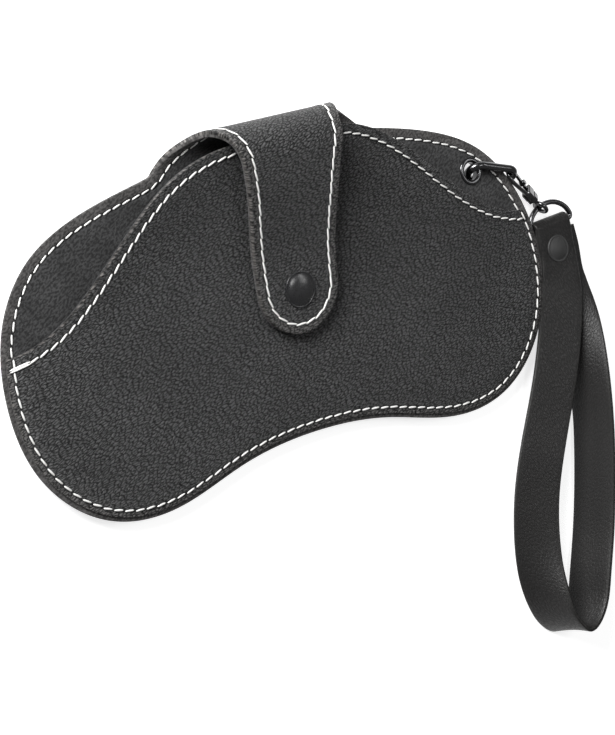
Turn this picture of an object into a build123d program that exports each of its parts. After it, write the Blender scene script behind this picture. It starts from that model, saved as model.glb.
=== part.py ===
# Soft leather case for sunglasses, with a snap tab and a wrist strap on a swivel hook.
# The case lies on its back on a table. X runs along it, Y up to the tab, Z out of the front.
# All lengths are in millimetres and all angles in degrees.
from build123d import *
import math
import os

# Sheet materials and the gap between neighbours that move.
leather = 1.0
lining = 0.8
sheet = leather + lining
strap_leather = 1.5
body_gap = 0.3

# Outline of the sewn panels, right half from bottom centre to the tab root.
half_length = 95.0
half_outline = [
    (0, -36.5),
    (26.7, -39.3),
    (49.6, -44.9),
    (half_length - 23.3, -42.6),
    (half_length - 4.6, -25.3),
    (half_length, -4.2),
    (half_length - 4.4, 15.0),
    (half_length - 15.2, 29.4),
    (half_length - 32.8, 38.3),
    (45.0, 42.6),
]
root_y = 44.3
root_half_width = 37.0

# The back bulges down to a flat patch that rests on the table.
rim_z = 3.1
bulge_length = 68.0
bulge_width = 26.0
bulge_y = 1.0
patch_share = 0.5
patch_cut = 0.1

# Front panel: its cut mouth edge and how far it rises off the back panel.
mouth_low = 8.0
mouth_crown = 40.5
mouth_spread = 61.65
mouth_steepness = 3.5
mouth_rise = 9.4
rise_start = -40.0
rise_power = 3.2
seam_lift = 0.02

# Tab: it rolls over the mouth and runs down the front to the snap.
roll_radius = 9.15
roll_widths = [(0.0, 37.0), (2.0, 32.0), (5.5, 26.0), (9.2, 22.4), (12.4, 21.1), (15.0, 19.7), (18.4, 17.4)]
tab_slope = 16.5
tab_end_slope = 7.0
tab_bend_length = 11.0
tab_waist = [(0.0, 17.4), (9.0, 15.9), (18.0, 15.1), (28.0, 14.4)]
tab_end_half_width = 13.9
tab_tip_y = -8.0

# Snap fastener on an axis square to the end of the tab.
snap_y = 5.0
snap_gap = 1.5
snap_cap_radius = 5.3
snap_cap_rim = 0.35
snap_cap_dome = 1.1
snap_disc_radius = 4.3
snap_disc_sink = 0.3
snap_head_radius = 1.8
snap_neck_radius = 1.5
snap_head_height = 1.15
snap_socket_depth = 1.05
snap_play = 0.3
snap_wire = 0.18
rivet_shank = 1.0
rivet_disc = 3.4
rivet_disc_thick = 0.5

# Eyelet and the oblong link through it.
eyelet_x = half_length - 20.5
eyelet_y = 24.0
eyelet_bore = 2.65
eyelet_barrel = 3.0
eyelet_radius = 4.2
eyelet_proud = 0.4
washer_thick = 0.35
link_rod = 1.1
link_reach = 16.8
link_half_width = 3.3
link_heading = -16.5
link_tilt = 35.0

# Swivel snap hook, built along its own axis from the centre of the bow.
bow_center = (half_length - 3.6, 19.35, 3.74)
hook_heading = -51.0
hook_pitch = 3.2
hook_roll = -36.0
hook_rod = 0.65
bow_radius = 3.2
base_start = 6.6
base_length = 3.1
base_width = 4.6
base_thick = 3.0
collar_size = 3.1
collar_length = 1.5
neck_y = -1.5
pivot_x = 7.4
pivot_y = 1.3
gate_thick = 0.8
gate_width = 1.2
gate_end_angle = 95.0
hook_end_angle = 104.0
slot_thick = 1.7
pin_radius = 0.4
coil_radius = 0.75
stem_radius = 0.6
stem_head = 1.0
running = 0.06
eye_reach = 14.9
eye_radius = 2.0
eye_rod = 0.55

# D-ring and wrist strap.
d_rod = 0.75
d_half_width = 8.6
d_height = 6.7
bar_center = (half_length + 8.9, 1.9, 2.6)
bar_heading = 4.0
strap_width = 14.0
fold_play = 0.2
layer_gap = 0.2
rivet_y = -7.4
tail_length = 12.5
rivet_cap_radius = 4.2
rivet_cap_dome = 0.9
# Middle of the strap and the lean of its width, in degrees: down the front leg and back up.
# Its x runs from the middle of the bar of the D-ring.
strap_path = [
    (-3.3, -19.5, 5.8, 12.0),
    (-8.2, -32.2, 6.3, 17.6),
    (-13.4, -44.0, 6.15, 17.9),
    (-18.6, -54.9, 5.75, 18.7),
    (-23.3, -64.5, 5.5, 21.7),
    (-27.7, -75.8, 5.0, 25.0),
    (-31.1, -89.6, 4.9, 32.0),
    (-32.5, -100.0, 5.6, 45.0),
    (-32.1, -108.5, 6.5, 60.0),
    (-29.9, -115.2, 7.0, 70.0),
    (-25.4, -118.8, 7.3, 72.0),
    (-20.4, -115.8, 7.5, 71.0),
    (-15.4, -106.0, 7.6, 70.0),
    (-10.5, -93.0, 7.4, 70.0),
    (-6.5, -79.3, 7.5, 71.0),
    (-3.6, -67.0, 7.6, 72.0),
    (-1.3, -54.9, 7.6, 72.0),
    (0.0, -41.0, 6.9, 58.0),
    (0.5, -26.5, 4.9, 32.0),
    (0.6, -14.0, 2.8, 6.0),
]


def mouth_y(x):
    """Height of the cut mouth edge at x."""
    return mouth_low + mouth_crown * math.exp(-((abs(x) / mouth_spread) ** mouth_steepness))


def rise(x, y):
    """How far the front panel stands off the seam at x, y."""
    along = max(0.0, 1 - (x / half_length) ** 2) ** 1.5
    up = max(0.0, (y - rise_start) / (mouth_y(x) - rise_start))
    return mouth_rise * along * up**rise_power


def prism(face, low, high):
    """Solid over a flat face between two heights."""
    return extrude(Pos(0, 0, low) * face, high - low)


def outline_face(top_y):
    """Flat outline of the panels, cut straight at the tab root."""
    right = half_outline + [(root_half_width, root_y)]
    left = [(-x, y) for x, y in reversed(right)]
    around = Spline(left + right[1:], tangents=[(-1, -0.25), (-1, 0.25)])
    return make_face([around, Line(right[-1], left[0])])


def front_face():
    """Flat outline of the front panel under its mouth edge."""
    beyond = half_length + 5
    right = [16, 32, 44, 55, 66, 77, 88, beyond]
    steps = [-x for x in reversed(right)] + [0] + right
    edge = Spline([(x, mouth_y(x)) for x in steps])
    ends = mouth_y(beyond)
    sides = Polyline((beyond, ends), (beyond, -60), (-beyond, -60), (-beyond, ends))
    under = make_face([edge, sides])
    return (outline_face(root_y) + Pos(0, 30) * Rectangle(72, 60)) & under


def dish(x, y):
    """Height of the outer face of the back panel at x, y."""
    far_out = math.hypot(x / bulge_length, (y - bulge_y) / bulge_width)
    t = min(1.0, max(0.0, (1 - far_out) / (1 - patch_share)))
    return rim_z - (rim_z + patch_cut) * t**3 * (10 - 15 * t + 6 * t * t)


def rise_front(x, y):
    """Height of the inner face of the front panel at x, y."""
    return rim_z + sheet + seam_lift + rise(x, y)


def layer(height, lift, thick, columns, rows, top):
    """Curved layer of even thickness over a height function."""
    grid = []
    for i in range(columns + 1):
        x = (half_length + 5) * (2 * i / columns - 1)
        high = top(x)
        ys = [-52 + (high + 52) * j / rows for j in range(rows + 1)]
        grid.append([Vector(x, y, height(x, y) + lift) for y in ys])
    return extrude(Face.make_surface_from_array_of_points(grid, tol=0.01), thick, dir=(0, 0, 1))


def back_layer(depth, thick):
    """One dished layer of the back, depth above its outer face."""
    bowl = layer(dish, depth, thick, 50, 32, lambda x: 52)
    keep = outline_face(root_y) & Pos(0, root_y - body_gap / 2 - 100) * Rectangle(400, 200)
    return bowl & prism(keep, 0, 20)


def front_layer(depth, thick):
    """One layer of the front panel, depth above its inner face."""
    cover = layer(rise_front, depth, thick, 20, 14, lambda x: mouth_y(x) + 4)
    return cover & prism(front_face(), 0, 40)


# Frame of the snap: its origin is on the front panel, its axis square to the tab.
snap_z = rim_z + 2 * sheet + seam_lift + rise(0, snap_y)
snap_lean = math.radians(tab_end_slope)
snap_frame = Plane((0, snap_y, snap_z), x_dir=(1, 0, 0), z_dir=(0, -math.sin(snap_lean), math.cos(snap_lean)))


def snap_disc(radius, low, high):
    """Round slab on the snap axis."""
    return snap_frame * Pos(0, 0, (low + high) / 2) * Cylinder(radius, high - low)


def tab_line(depth):
    """Side profile of the tab from crest to tip, depth below its outer face."""
    hub = (root_y, rim_z + roll_radius)
    bend = math.radians(tab_slope)
    fall = math.tan(snap_lean)
    reach = roll_radius - depth
    crest = (hub[0], hub[1] + reach)
    mid = (hub[0] - reach * math.sin(bend / 2), hub[1] + reach * math.cos(bend / 2))
    leave = (hub[0] - reach * math.sin(bend), hub[1] + reach * math.cos(bend))
    over = (snap_gap + sheet - depth) / math.cos(snap_lean)
    flat_y = snap_y + snap_disc_radius + 2
    flat = (flat_y, snap_z + over + (flat_y - snap_y) * fall)
    tip = (tab_tip_y - 3, snap_z + over + (tab_tip_y - 3 - snap_y) * fall)
    straight = (
        leave[0] - (leave[0] - flat[0] - tab_bend_length) * 0.5,
        leave[1] - (leave[0] - flat[0] - tab_bend_length) * 0.5 * math.tan(bend),
    )
    roll = ThreePointArc(crest, mid, leave)
    down = Spline([leave, straight, flat], tangents=[(-math.cos(bend), -math.sin(bend)), (-1, -fall)])
    return [roll, down, Line(flat, tip)], crest, tip


def tab_plan():
    """Seen from the front, the outline of the tab below the crest."""
    right = [(w, root_y - d) for d, w in tab_waist]
    low = tab_tip_y + tab_end_half_width
    side_r = Spline(right + [(tab_end_half_width, low)])
    side_l = Spline([(-x, y) for x, y in right] + [(-tab_end_half_width, low)])
    end = ThreePointArc((tab_end_half_width, low), (0, tab_tip_y), (-tab_end_half_width, low))
    top = Line((-right[0][0], root_y), (right[0][0], root_y))
    return make_face([side_r, end, side_l, top])


def tab_front(depth, thick):
    """One layer of the tab from the crest down to the tip."""
    outer, crest_o, tip_o = tab_line(depth)
    inner, crest_i, tip_i = tab_line(depth + thick)
    profile = make_face(outer + inner + [Line(crest_o, crest_i), Line(tip_o, tip_i)])
    long = extrude(Plane.YZ * profile, 30, both=True)
    keep = Pos(0, root_y - body_gap / 2 - 50, 0) * Box(80, 100, 80)
    return long & prism(tab_plan(), 0, 40) & keep


def tab_arch(depth, thick):
    """One layer of the roll from the root of the tab to its crest."""
    hub = Plane.YZ * Pos(root_y, rim_z + roll_radius)
    ring = hub * (Circle(roll_radius - depth) - Circle(roll_radius - depth - thick))
    roll = extrude(ring, 45, both=True)
    right = [(w, rim_z + h) for h, w in roll_widths]
    left = [(-w, z) for w, z in right]
    sides = [Spline(right), Spline(left), Line(left[0], right[0]), Line(left[-1], right[-1])]
    shape = extrude(Plane.XZ * make_face(sides), 60, both=True)
    keep = Pos(0, root_y + body_gap / 2 + 50, 0) * Box(100, 100, 80)
    return roll & shape & keep


def ball_rod(start, end, radius):
    """Straight rod between two points with round ends."""
    run = Vector(*end) - Vector(*start)
    rod = Plane(Vector(*start) + run * 0.5, z_dir=run) * Cylinder(radius, run.length)
    return rod + Pos(*start) * Sphere(radius) + Pos(*end) * Sphere(radius)


def dome(radius, rim, height):
    """Round cap with a straight rim and a shallow dome, standing on z = 0."""
    ball = (radius**2 + height**2) / (2 * height)
    crown = Pos(0, 0, rim + height - ball) * Sphere(ball)
    return crown & Pos(0, 0, rim + height / 2) * Cylinder(radius, 2 * rim + height) & Pos(0, 0, 50) * Box(99, 99, 100)


# Sewn panels.
eyelet_axis = Pos(eyelet_x, eyelet_y, rim_z + sheet / 2)
eyelet_hole = eyelet_axis * Cylinder(eyelet_barrel, 12)
snap_seat = snap_disc(snap_disc_radius, -snap_disc_sink, 6)
post_seat = snap_disc(rivet_disc, -8, -sheet + 0.12)
post_hole = snap_disc(rivet_shank, -6, 6)
cap_hole = snap_disc(rivet_shank, -6, 12)
back_outer = back_layer(0, leather) - eyelet_hole
back_lining = back_layer(leather, lining) - eyelet_hole
front_outer = front_layer(lining, leather) - snap_seat - post_hole
front_lining = front_layer(0, lining) - post_seat - post_hole

# Tab in four layers.
arch_leather = tab_arch(0, leather)
arch_lining = tab_arch(leather, lining)
front_tab_leather = tab_front(0, leather) - cap_hole
front_tab_lining = tab_front(leather, lining) - cap_hole

# Snap fastener: stud and post on the panel, socket, spring wire and cap on the tab.
stud = snap_disc(snap_disc_radius, -snap_disc_sink, 0.2)
stud += snap_disc(snap_neck_radius, 0.1, snap_head_height - 0.3)
stud += snap_frame * Pos(0, 0, snap_head_height - 0.3) * Cylinder(snap_head_radius, 0.6)
stud -= snap_disc(rivet_shank, -1, 0.75)
snap_post = snap_disc(rivet_disc, -sheet + 0.12 - rivet_disc_thick, -sheet + 0.12)
snap_post += snap_disc(rivet_shank, -sheet, 0.75)
socket_floor = snap_gap - snap_socket_depth
socket = snap_disc(snap_disc_radius, socket_floor, snap_gap)
bore = snap_head_radius + snap_play
socket -= snap_disc(bore, -1, snap_gap - 0.25)
socket -= snap_disc(bore + 2 * snap_wire, socket_floor + 0.2, socket_floor + 0.2 + 2 * snap_wire)
socket -= cap_hole
wire_z = socket_floor + 0.2 + snap_wire
snap_spring = snap_frame * Pos(0, 0, wire_z) * Torus(bore + snap_wire, snap_wire - 0.01)
snap_cap = snap_frame * Pos(0, 0, snap_gap + sheet) * dome(snap_cap_radius, snap_cap_rim, snap_cap_dome)
snap_cap += snap_disc(rivet_shank, snap_gap - 0.25, snap_gap + sheet + 0.1)

# Eyelet through the back panel.
top_z = sheet / 2 + eyelet_proud
low_z = sheet / 2 + washer_thick
flange = Pos(0, 0, sheet / 2 + eyelet_proud / 2) * Cylinder(eyelet_radius, eyelet_proud)
flange = fillet(flange.edges().group_by(Axis.Z)[-1], 0.3)
flange += Pos(0, 0, (top_z - low_z) / 2) * Cylinder(eyelet_barrel, top_z + low_z)
flange -= Cylinder(eyelet_bore, 12)
flange = fillet(flange.edges().group_by(Axis.Z)[-1], 0.12)
flange = eyelet_axis * flange
washer = Cylinder(eyelet_radius, washer_thick) - Cylinder(eyelet_barrel, 2)
washer = eyelet_axis * Pos(0, 0, -sheet / 2 - washer_thick / 2) * washer

# Oblong link: local x runs out over the edge, local y is across the link.
tilt = math.radians(link_tilt)
turn = math.radians(link_heading)
out = Vector(math.cos(turn), math.sin(turn), 0)
side = Vector(-math.sin(turn), math.cos(turn), 0)
across = Vector(0, 0, math.cos(tilt)) + side * math.sin(tilt)
link_frame = Plane(Vector(eyelet_x, eyelet_y, rim_z + sheet / 2), x_dir=out, z_dir=out.cross(across))
near = link_half_width
far = link_reach - link_half_width
w = link_half_width
link_line = [
    Line((near, w), (far, w)),
    ThreePointArc((far, w), (link_reach, 0), (far, -w)),
    Line((far, -w), (near, -w)),
    ThreePointArc((near, -w), (0, 0), (near, w)),
]
link_path = Wire(link_line)
link = sweep(Plane((near, w, 0), z_dir=(1, 0, 0)) * Circle(link_rod), path=link_path)
link = link_frame * link

# Hook frame: local x runs to the swivel, local y towards the gate.
heading = math.radians(hook_heading)
roll = math.radians(hook_roll)
pitch = math.radians(hook_pitch)
hook_x = Vector(math.cos(heading) * math.cos(pitch), math.sin(heading) * math.cos(pitch), -math.sin(pitch))
hook_side = Vector(-math.sin(heading), math.cos(heading), 0)
hook_y = hook_side * math.cos(roll) + hook_x.cross(hook_side) * math.sin(roll)
hook_frame = Plane(Vector(*bow_center), x_dir=hook_x, z_dir=hook_x.cross(hook_y))


def on_bow(angle, radius):
    """Point on the round end of the hook."""
    return (radius * math.cos(math.radians(angle)), radius * math.sin(math.radians(angle)))


# Hook: arm, bow, slotted base and square collar in one casting.
root = (base_start + 0.8, neck_y)
far_off = math.hypot(*root)
touch_angle = math.degrees(math.atan2(root[1], root[0]) - math.acos(bow_radius / far_off))
touch = on_bow(touch_angle, bow_radius)
nose = on_bow(hook_end_angle, bow_radius)
sweep_mid = on_bow((touch_angle - 360 + hook_end_angle) / 2, bow_radius)
arm_path = Wire([Line(root, touch), ThreePointArc(touch, sweep_mid, nose)])
arm = sweep(Plane((root[0], root[1], 0), z_dir=Vector(touch) - Vector(root)) * Circle(hook_rod), path=arm_path)
base_end = base_start + base_length
block = Pos(base_start + base_length / 2, 0, 0) * Box(base_length, base_width, base_thick)
block = fillet(block.edges(), 0.6)
collar = Pos(base_end + collar_length / 2 - 0.05, 0, 0) * Box(collar_length + 0.1, collar_size, collar_size)
collar = fillet(collar.edges().filter_by(Axis.X), 0.4)
hook = arm + block + collar
slot_end = pivot_x + coil_radius + 0.15
slot_low = pivot_y - coil_radius - 0.2
slot_box = Box(slot_end - base_start + 0.6, 6, slot_thick)
hook -= Pos((slot_end + base_start - 0.6) / 2, slot_low + 3, 0) * slot_box
hook -= Pos(pivot_x, pivot_y, 0) * Cylinder(pin_radius, 10)
along_x = Rot(0, 90, 0)
head_start = slot_end + 0.2
hook -= Pos(head_start + 0.45, 0, 0) * along_x * Cylinder(stem_head + running, 0.9)
hook -= Pos(head_start + 4, 0, 0) * along_x * Cylinder(stem_radius + running, 8)
hook = hook_frame * hook

# Gate lever with a thumb knob, its pin and its coil spring.
gate_tip = on_bow(gate_end_angle, bow_radius)
run = Vector(gate_tip[0] - pivot_x, gate_tip[1] - pivot_y)
gate_angle = math.degrees(math.atan2(run.Y, run.X))
bar = Pos(pivot_x, pivot_y, 0) * Rot(0, 0, gate_angle) * Pos(run.length / 2, 0, 0)
gate = bar * Box(run.length, gate_width, gate_thick)
gate += Pos(pivot_x, pivot_y, 0) * Cylinder(coil_radius, gate_thick)
knob_at = Pos(pivot_x, pivot_y, 0) * Rot(0, 0, gate_angle) * Pos(2.1, 0, 0)
gate += knob_at * Pos(0, -0.5, 0) * Cylinder(0.85, gate_thick + 1.0)
gate -= Pos(pivot_x, pivot_y, 0) * Cylinder(pin_radius + running, 10)
gate = hook_frame * gate
pin = hook_frame * Pos(pivot_x, pivot_y, 0) * Cylinder(pin_radius, base_thick)
coil_thick = (slot_thick - gate_thick) / 2 - 2 * running
coil = Cylinder(coil_radius, coil_thick) - Cylinder(pin_radius + running, 2)
coil = hook_frame * Pos(pivot_x, pivot_y, (gate_thick + coil_thick) / 2 + running) * coil

# Swivel: a headed stem that turns in the collar and an eye for the D-ring.
stem_end = eye_reach - eye_radius
stem = Pos((head_start + stem_end) / 2 + 0.3, 0, 0) * along_x * Cylinder(stem_radius, stem_end - head_start - 0.6)
stem += Pos(head_start + 0.45, 0, 0) * along_x * Cylinder(stem_head, 0.9 - 2 * running)
stem += Pos(base_end + collar_length + 0.35, 0, 0) * along_x * Cylinder(1.1, 0.5)
bar_turn = math.radians(bar_heading)
bar_run = Vector(math.cos(bar_turn), math.sin(bar_turn), 0)
bar_up = Vector(-math.sin(bar_turn), math.cos(bar_turn), 0)
eye_center = Vector(*bow_center) + hook_x * eye_reach
offset = eye_center - Vector(*bar_center)
ring_x = offset.dot(bar_run)
slope = -d_height * ring_x / d_half_width**2 / math.sqrt(1 - (ring_x / d_half_width) ** 2)
ring_tangent = bar_run + bar_up * slope
eye_normal = ring_tangent - hook_x * ring_tangent.dot(hook_x)
eye = Plane(eye_center, x_dir=hook_x, z_dir=eye_normal) * Torus(eye_radius, eye_rod)
swivel = hook_frame * stem + eye

# D-ring: a straight bar in the fold of the strap and half an ellipse through the eye.
d_frame = Plane(Vector(*bar_center), x_dir=bar_run, z_dir=(0, 0, 1))
half = EllipticalCenterArc((0, 0), d_half_width, d_height, start_angle=0, arc_size=180)
ring = sweep(Plane((d_half_width, 0, 0), z_dir=(0, 1, 0)) * Circle(d_rod), path=half)
ring += ball_rod((-d_half_width, 0, 0), (d_half_width, 0, 0), d_rod)
d_ring = d_frame * ring

# Wrist strap: one strip, folded round the bar and back, and joined by a rivet.
fold_in = d_rod + fold_play
fold_out = fold_in + strap_leather
mid_radius = (fold_in + fold_out) / 2
fold = extrude(Plane.YZ * (Circle(fold_out) - Circle(fold_in)), strap_width / 2, both=True)
fold &= Pos(0, 10, 0) * Box(40, 20, 20)
tail = Pos(0, -tail_length / 2, -mid_radius) * Box(strap_width, tail_length, strap_leather)
head = Pos(0, rivet_y / 2, mid_radius) * Box(strap_width, -rivet_y, strap_leather)
layers_z = mid_radius - strap_leather - layer_gap


def strap_section(point, run, lean):
    """Cross-section of the strap at a point."""
    wide = Vector(math.cos(math.radians(lean)), 0, math.sin(math.radians(lean)))
    wide = (wide - run * wide.dot(run)).normalized()
    return Plane(point, x_dir=wide, z_dir=run) * Rectangle(strap_width, strap_leather)


top_start = d_frame.from_local_coords(Vector(0, rivet_y, mid_radius))
under_start = d_frame.from_local_coords(Vector(0, -3.4, layers_z))
under_rivet = d_frame.from_local_coords(Vector(0.3, rivet_y, layers_z))
stops = [Vector(bar_center[0] + x, y, z) for x, y, z, lean in strap_path]
leans = [lean for x, y, z, lean in strap_path]
stops = [top_start] + stops + [under_rivet, under_start]
leans = [0.0] + leans + [0.0, 0.0]
runs = []
for i, stop in enumerate(stops):
    ahead = stops[min(i + 1, len(stops) - 1)]
    behind = stops[max(i - 1, 0)]
    runs.append((ahead - behind).normalized())
runs[0] = bar_up * -1
runs[-1] = bar_up
sections = [strap_section(p, r, a) for p, r, a in zip(stops, runs, leans)]
turn_at = len(sections) // 2 - 1
strap = loft(sections[: turn_at + 1]) + loft(sections[turn_at:])
strap += d_frame * (fold + tail + head)
rivet_axis = d_frame * Pos(0, rivet_y, 0)
rivet_low = -mid_radius - strap_leather / 2
rivet_high = mid_radius + strap_leather / 2
strap -= rivet_axis * Cylinder(rivet_shank + 0.25, 20)
strap -= rivet_axis * Pos(0, 0, rivet_high + 3) * Cylinder(rivet_cap_radius, 6)
strap_cap = rivet_axis * Pos(0, 0, rivet_high) * dome(rivet_cap_radius, 0.3, rivet_cap_dome)
shank_low = rivet_low + 0.6
strap_cap += rivet_axis * Pos(0, 0, (rivet_high + shank_low) / 2) * Cylinder(rivet_shank + 0.2, rivet_high - shank_low)
seat = rivet_axis * Pos(0, 0, rivet_low + 0.25) * Cylinder(rivet_disc, 0.7)
strap -= seat
strap_foot = rivet_axis * Pos(0, 0, rivet_low + 0.35) * Cylinder(rivet_disc, 0.5)

nodes = {
    "back_outer_leather": back_outer,
    "back_lining": back_lining,
    "front_outer_leather": front_outer,
    "front_lining": front_lining,
    "tab_arch_leather": arch_leather,
    "tab_arch_lining": arch_lining,
    "tab_front_leather": front_tab_leather,
    "tab_front_lining": front_tab_lining,
    "snap_stud": stud,
    "snap_post": snap_post,
    "snap_socket": socket,
    "snap_spring": snap_spring,
    "snap_cap": snap_cap,
    "eyelet_flange": flange,
    "eyelet_washer": washer,
    "eyelet_link": link,
    "clasp_hook": hook,
    "gate_lever": gate,
    "lever_pin": pin,
    "lever_spring": coil,
    "swivel_eye": swivel,
    "d_ring": d_ring,
    "wrist_strap": strap,
    "strap_rivet_cap": strap_cap,
    "strap_rivet_foot": strap_foot,
}

os.makedirs("parts", exist_ok=True)
for name, shape in nodes.items():
    export_step(shape, "parts/" + name + ".step")
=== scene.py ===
"""Soft leather sunglasses case with a snap tab and a wrist strap, dressed for the picture.

The case lies on its back: X runs along it, Y up to the tab and Z out of the front.
Shapes are worked out in millimetres and handed to Blender in metres. A surface takes a place in
a layer's flat pattern and a depth, and gives the point where the layer lies on the case.
"""
import logging
import math
from dataclasses import dataclass, field
from enum import Enum
from typing import Callable

import bpy
import numpy as np
from mathutils import Matrix, Vector
from mathutils.geometry import delaunay_2d_cdt


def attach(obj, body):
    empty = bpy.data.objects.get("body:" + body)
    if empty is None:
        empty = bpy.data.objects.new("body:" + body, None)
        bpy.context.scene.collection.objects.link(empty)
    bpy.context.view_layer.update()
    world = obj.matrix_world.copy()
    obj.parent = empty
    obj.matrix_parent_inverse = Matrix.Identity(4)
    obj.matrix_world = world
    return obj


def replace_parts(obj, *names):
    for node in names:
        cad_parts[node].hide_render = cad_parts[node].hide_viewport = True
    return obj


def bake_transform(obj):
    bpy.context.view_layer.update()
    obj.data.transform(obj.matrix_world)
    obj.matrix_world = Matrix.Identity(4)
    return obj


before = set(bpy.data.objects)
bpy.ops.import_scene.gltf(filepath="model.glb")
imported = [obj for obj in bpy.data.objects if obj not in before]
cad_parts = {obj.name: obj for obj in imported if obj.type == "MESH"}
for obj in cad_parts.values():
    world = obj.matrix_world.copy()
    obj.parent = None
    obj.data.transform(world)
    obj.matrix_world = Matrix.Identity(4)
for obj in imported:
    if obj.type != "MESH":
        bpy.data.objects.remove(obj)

Array = np.ndarray
Shell = tuple[Array, Array, Array]
Surface = Callable[[Array, Array, Array], Array]
Socket = bpy.types.NodeSocket
Pair = tuple[float, float]
Triple = tuple[float, float, float]
MM = 0.001
FAR = 1000.0
NO_TRIANGLES = np.zeros((0, 3), int)
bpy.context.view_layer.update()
logging.basicConfig(level=logging.INFO, format="%(name)s: %(message)s")
log = logging.getLogger("sunglasses case")


# Curves


def spline(points: Array, count: int, start: Array | None = None, end: Array | None = None) -> Array:
    """Smooth curve through points: a cubic in each span, with slope and bend carried across.

    The parameter is the length of the chords. An end with no direction is left free of bend.

    Args:
        points: Points to pass through, one row each.
        count: How many samples to return.
        start: Unit direction at the first point.
        end: Unit direction at the last point.

    Returns:
        Samples evenly spaced in the chord parameter.
    """
    p = np.asarray(points, float)
    n = len(p)
    step = np.linalg.norm(np.diff(p, axis=0), axis=1)
    knot = np.r_[0, np.cumsum(step)]
    band, right = np.zeros((n, n)), np.zeros_like(p)
    inner = np.arange(1, n - 1)
    band[inner, inner - 1] = 1 / step[:-1]
    band[inner, inner] = 2 / step[:-1] + 2 / step[1:]
    band[inner, inner + 1] = 1 / step[1:]
    rate = np.diff(p, axis=0) / step[:, None] ** 2
    right[1:-1] = 3 * (rate[:-1] + rate[1:])
    for row, near, given, chord in ((0, 1, start, rate[0]), (n - 1, n - 2, end, rate[-1])):
        span = step[0] if row == 0 else step[-1]
        if given is None:
            band[row, row], band[row, near], right[row] = 2, 1, 3 * chord * span
        else:
            band[row, row], right[row] = 1, given
    slope = np.linalg.solve(band, right)
    t = np.linspace(0, knot[-1], count)
    k = np.clip(np.searchsorted(knot, t, side="right") - 1, 0, n - 2)
    h = step[k][:, None]
    u = ((t - knot[k]) / step[k])[:, None]
    return (
        p[k] * (2 * u**3 - 3 * u**2 + 1)
        + p[k + 1] * (3 * u**2 - 2 * u**3)
        + slope[k] * h * (u**3 - 2 * u**2 + u)
        + slope[k + 1] * h * (u**3 - u**2)
    )


def lengths(curve: Array) -> Array:
    """Distance along a polyline from its first point to each point."""
    return np.r_[0, np.cumsum(np.linalg.norm(np.diff(curve, axis=0), axis=1))]


def along(curve: Array, place: Array) -> Array:
    """Points of a polyline at given distances from its start."""
    run = lengths(curve)
    return np.column_stack([np.interp(place, run, curve[:, i]) for i in range(curve.shape[1])])


def lengthened(curve: Array, by: float) -> Array:
    """A polyline carried on straight by a distance at both ends."""
    start, end = unit(curve[0] - curve[1]), unit(curve[-1] - curve[-2])
    return np.vstack([curve[0] + start * by, curve, curve[-1] + end * by])


def even(curve: Array, spacing: float) -> Array:
    """The same polyline with points evenly spaced, its last point left out."""
    total = lengths(curve)[-1]
    count = max(2, int(round(total / spacing)))
    return along(curve, np.linspace(0, total, count + 1)[:-1])


def unit(vectors: Array) -> Array:
    """Vectors scaled to length one."""
    return vectors / np.maximum(np.linalg.norm(vectors, axis=-1, keepdims=True), 1e-12)


def soft_step(t: Array) -> Array:
    """Rises from 0 to 1 with no slope at either end."""
    t = np.clip(t, 0, 1)
    return t * t * (3 - 2 * t)


def full_turn(count: int) -> Array:
    """Evenly spaced angles round a full turn."""
    return np.linspace(0, 2 * np.pi, count, endpoint=False)


def circle(turn: Array) -> Array:
    """Points of the unit circle at some angles."""
    return np.column_stack([np.cos(turn), np.sin(turn)])


def mirrored(curve: Array) -> Array:
    """The mirror image of a curve on the right, in the opposite order."""
    return curve[::-1] * [-1, 1]


def with_column(points: Array, value: float = 0.0) -> Array:
    """Points with one more column that has the same value in every row."""
    return np.column_stack([points, np.full(len(points), value)])


def heading_of(degrees: float) -> tuple[Array, Array]:
    """Unit direction over the table at an angle from X, and the one a quarter turn to its left."""
    turn = math.radians(degrees)
    return np.array([math.cos(turn), math.sin(turn), 0]), np.array([-math.sin(turn), math.cos(turn), 0])


def nearest(spots: Array, others: Array) -> Array:
    """Distance from each spot to the nearest of some others, in blocks to save memory."""
    blocks = np.array_split(spots, max(1, len(spots) // 4000))
    return np.concatenate([np.sqrt(((b[:, None] - others[None]) ** 2).sum(-1)).min(1) for b in blocks])


# Meshes


def outward(points: Array, quads: Array, triangles: Array = NO_TRIANGLES) -> tuple[Array, Array]:
    """Turns the faces of a closed shell outwards, by the sign of the volume they enclose."""
    fans = np.vstack([quads[:, [0, 1, 2]], quads[:, [0, 2, 3]], triangles])
    a, b, c = points[fans[:, 0]], points[fans[:, 1]], points[fans[:, 2]]
    volume = np.einsum("ij,ij->i", a, np.cross(b, c)).sum()
    if volume < 0:
        return quads[:, ::-1], triangles[:, ::-1]
    return quads, triangles


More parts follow.
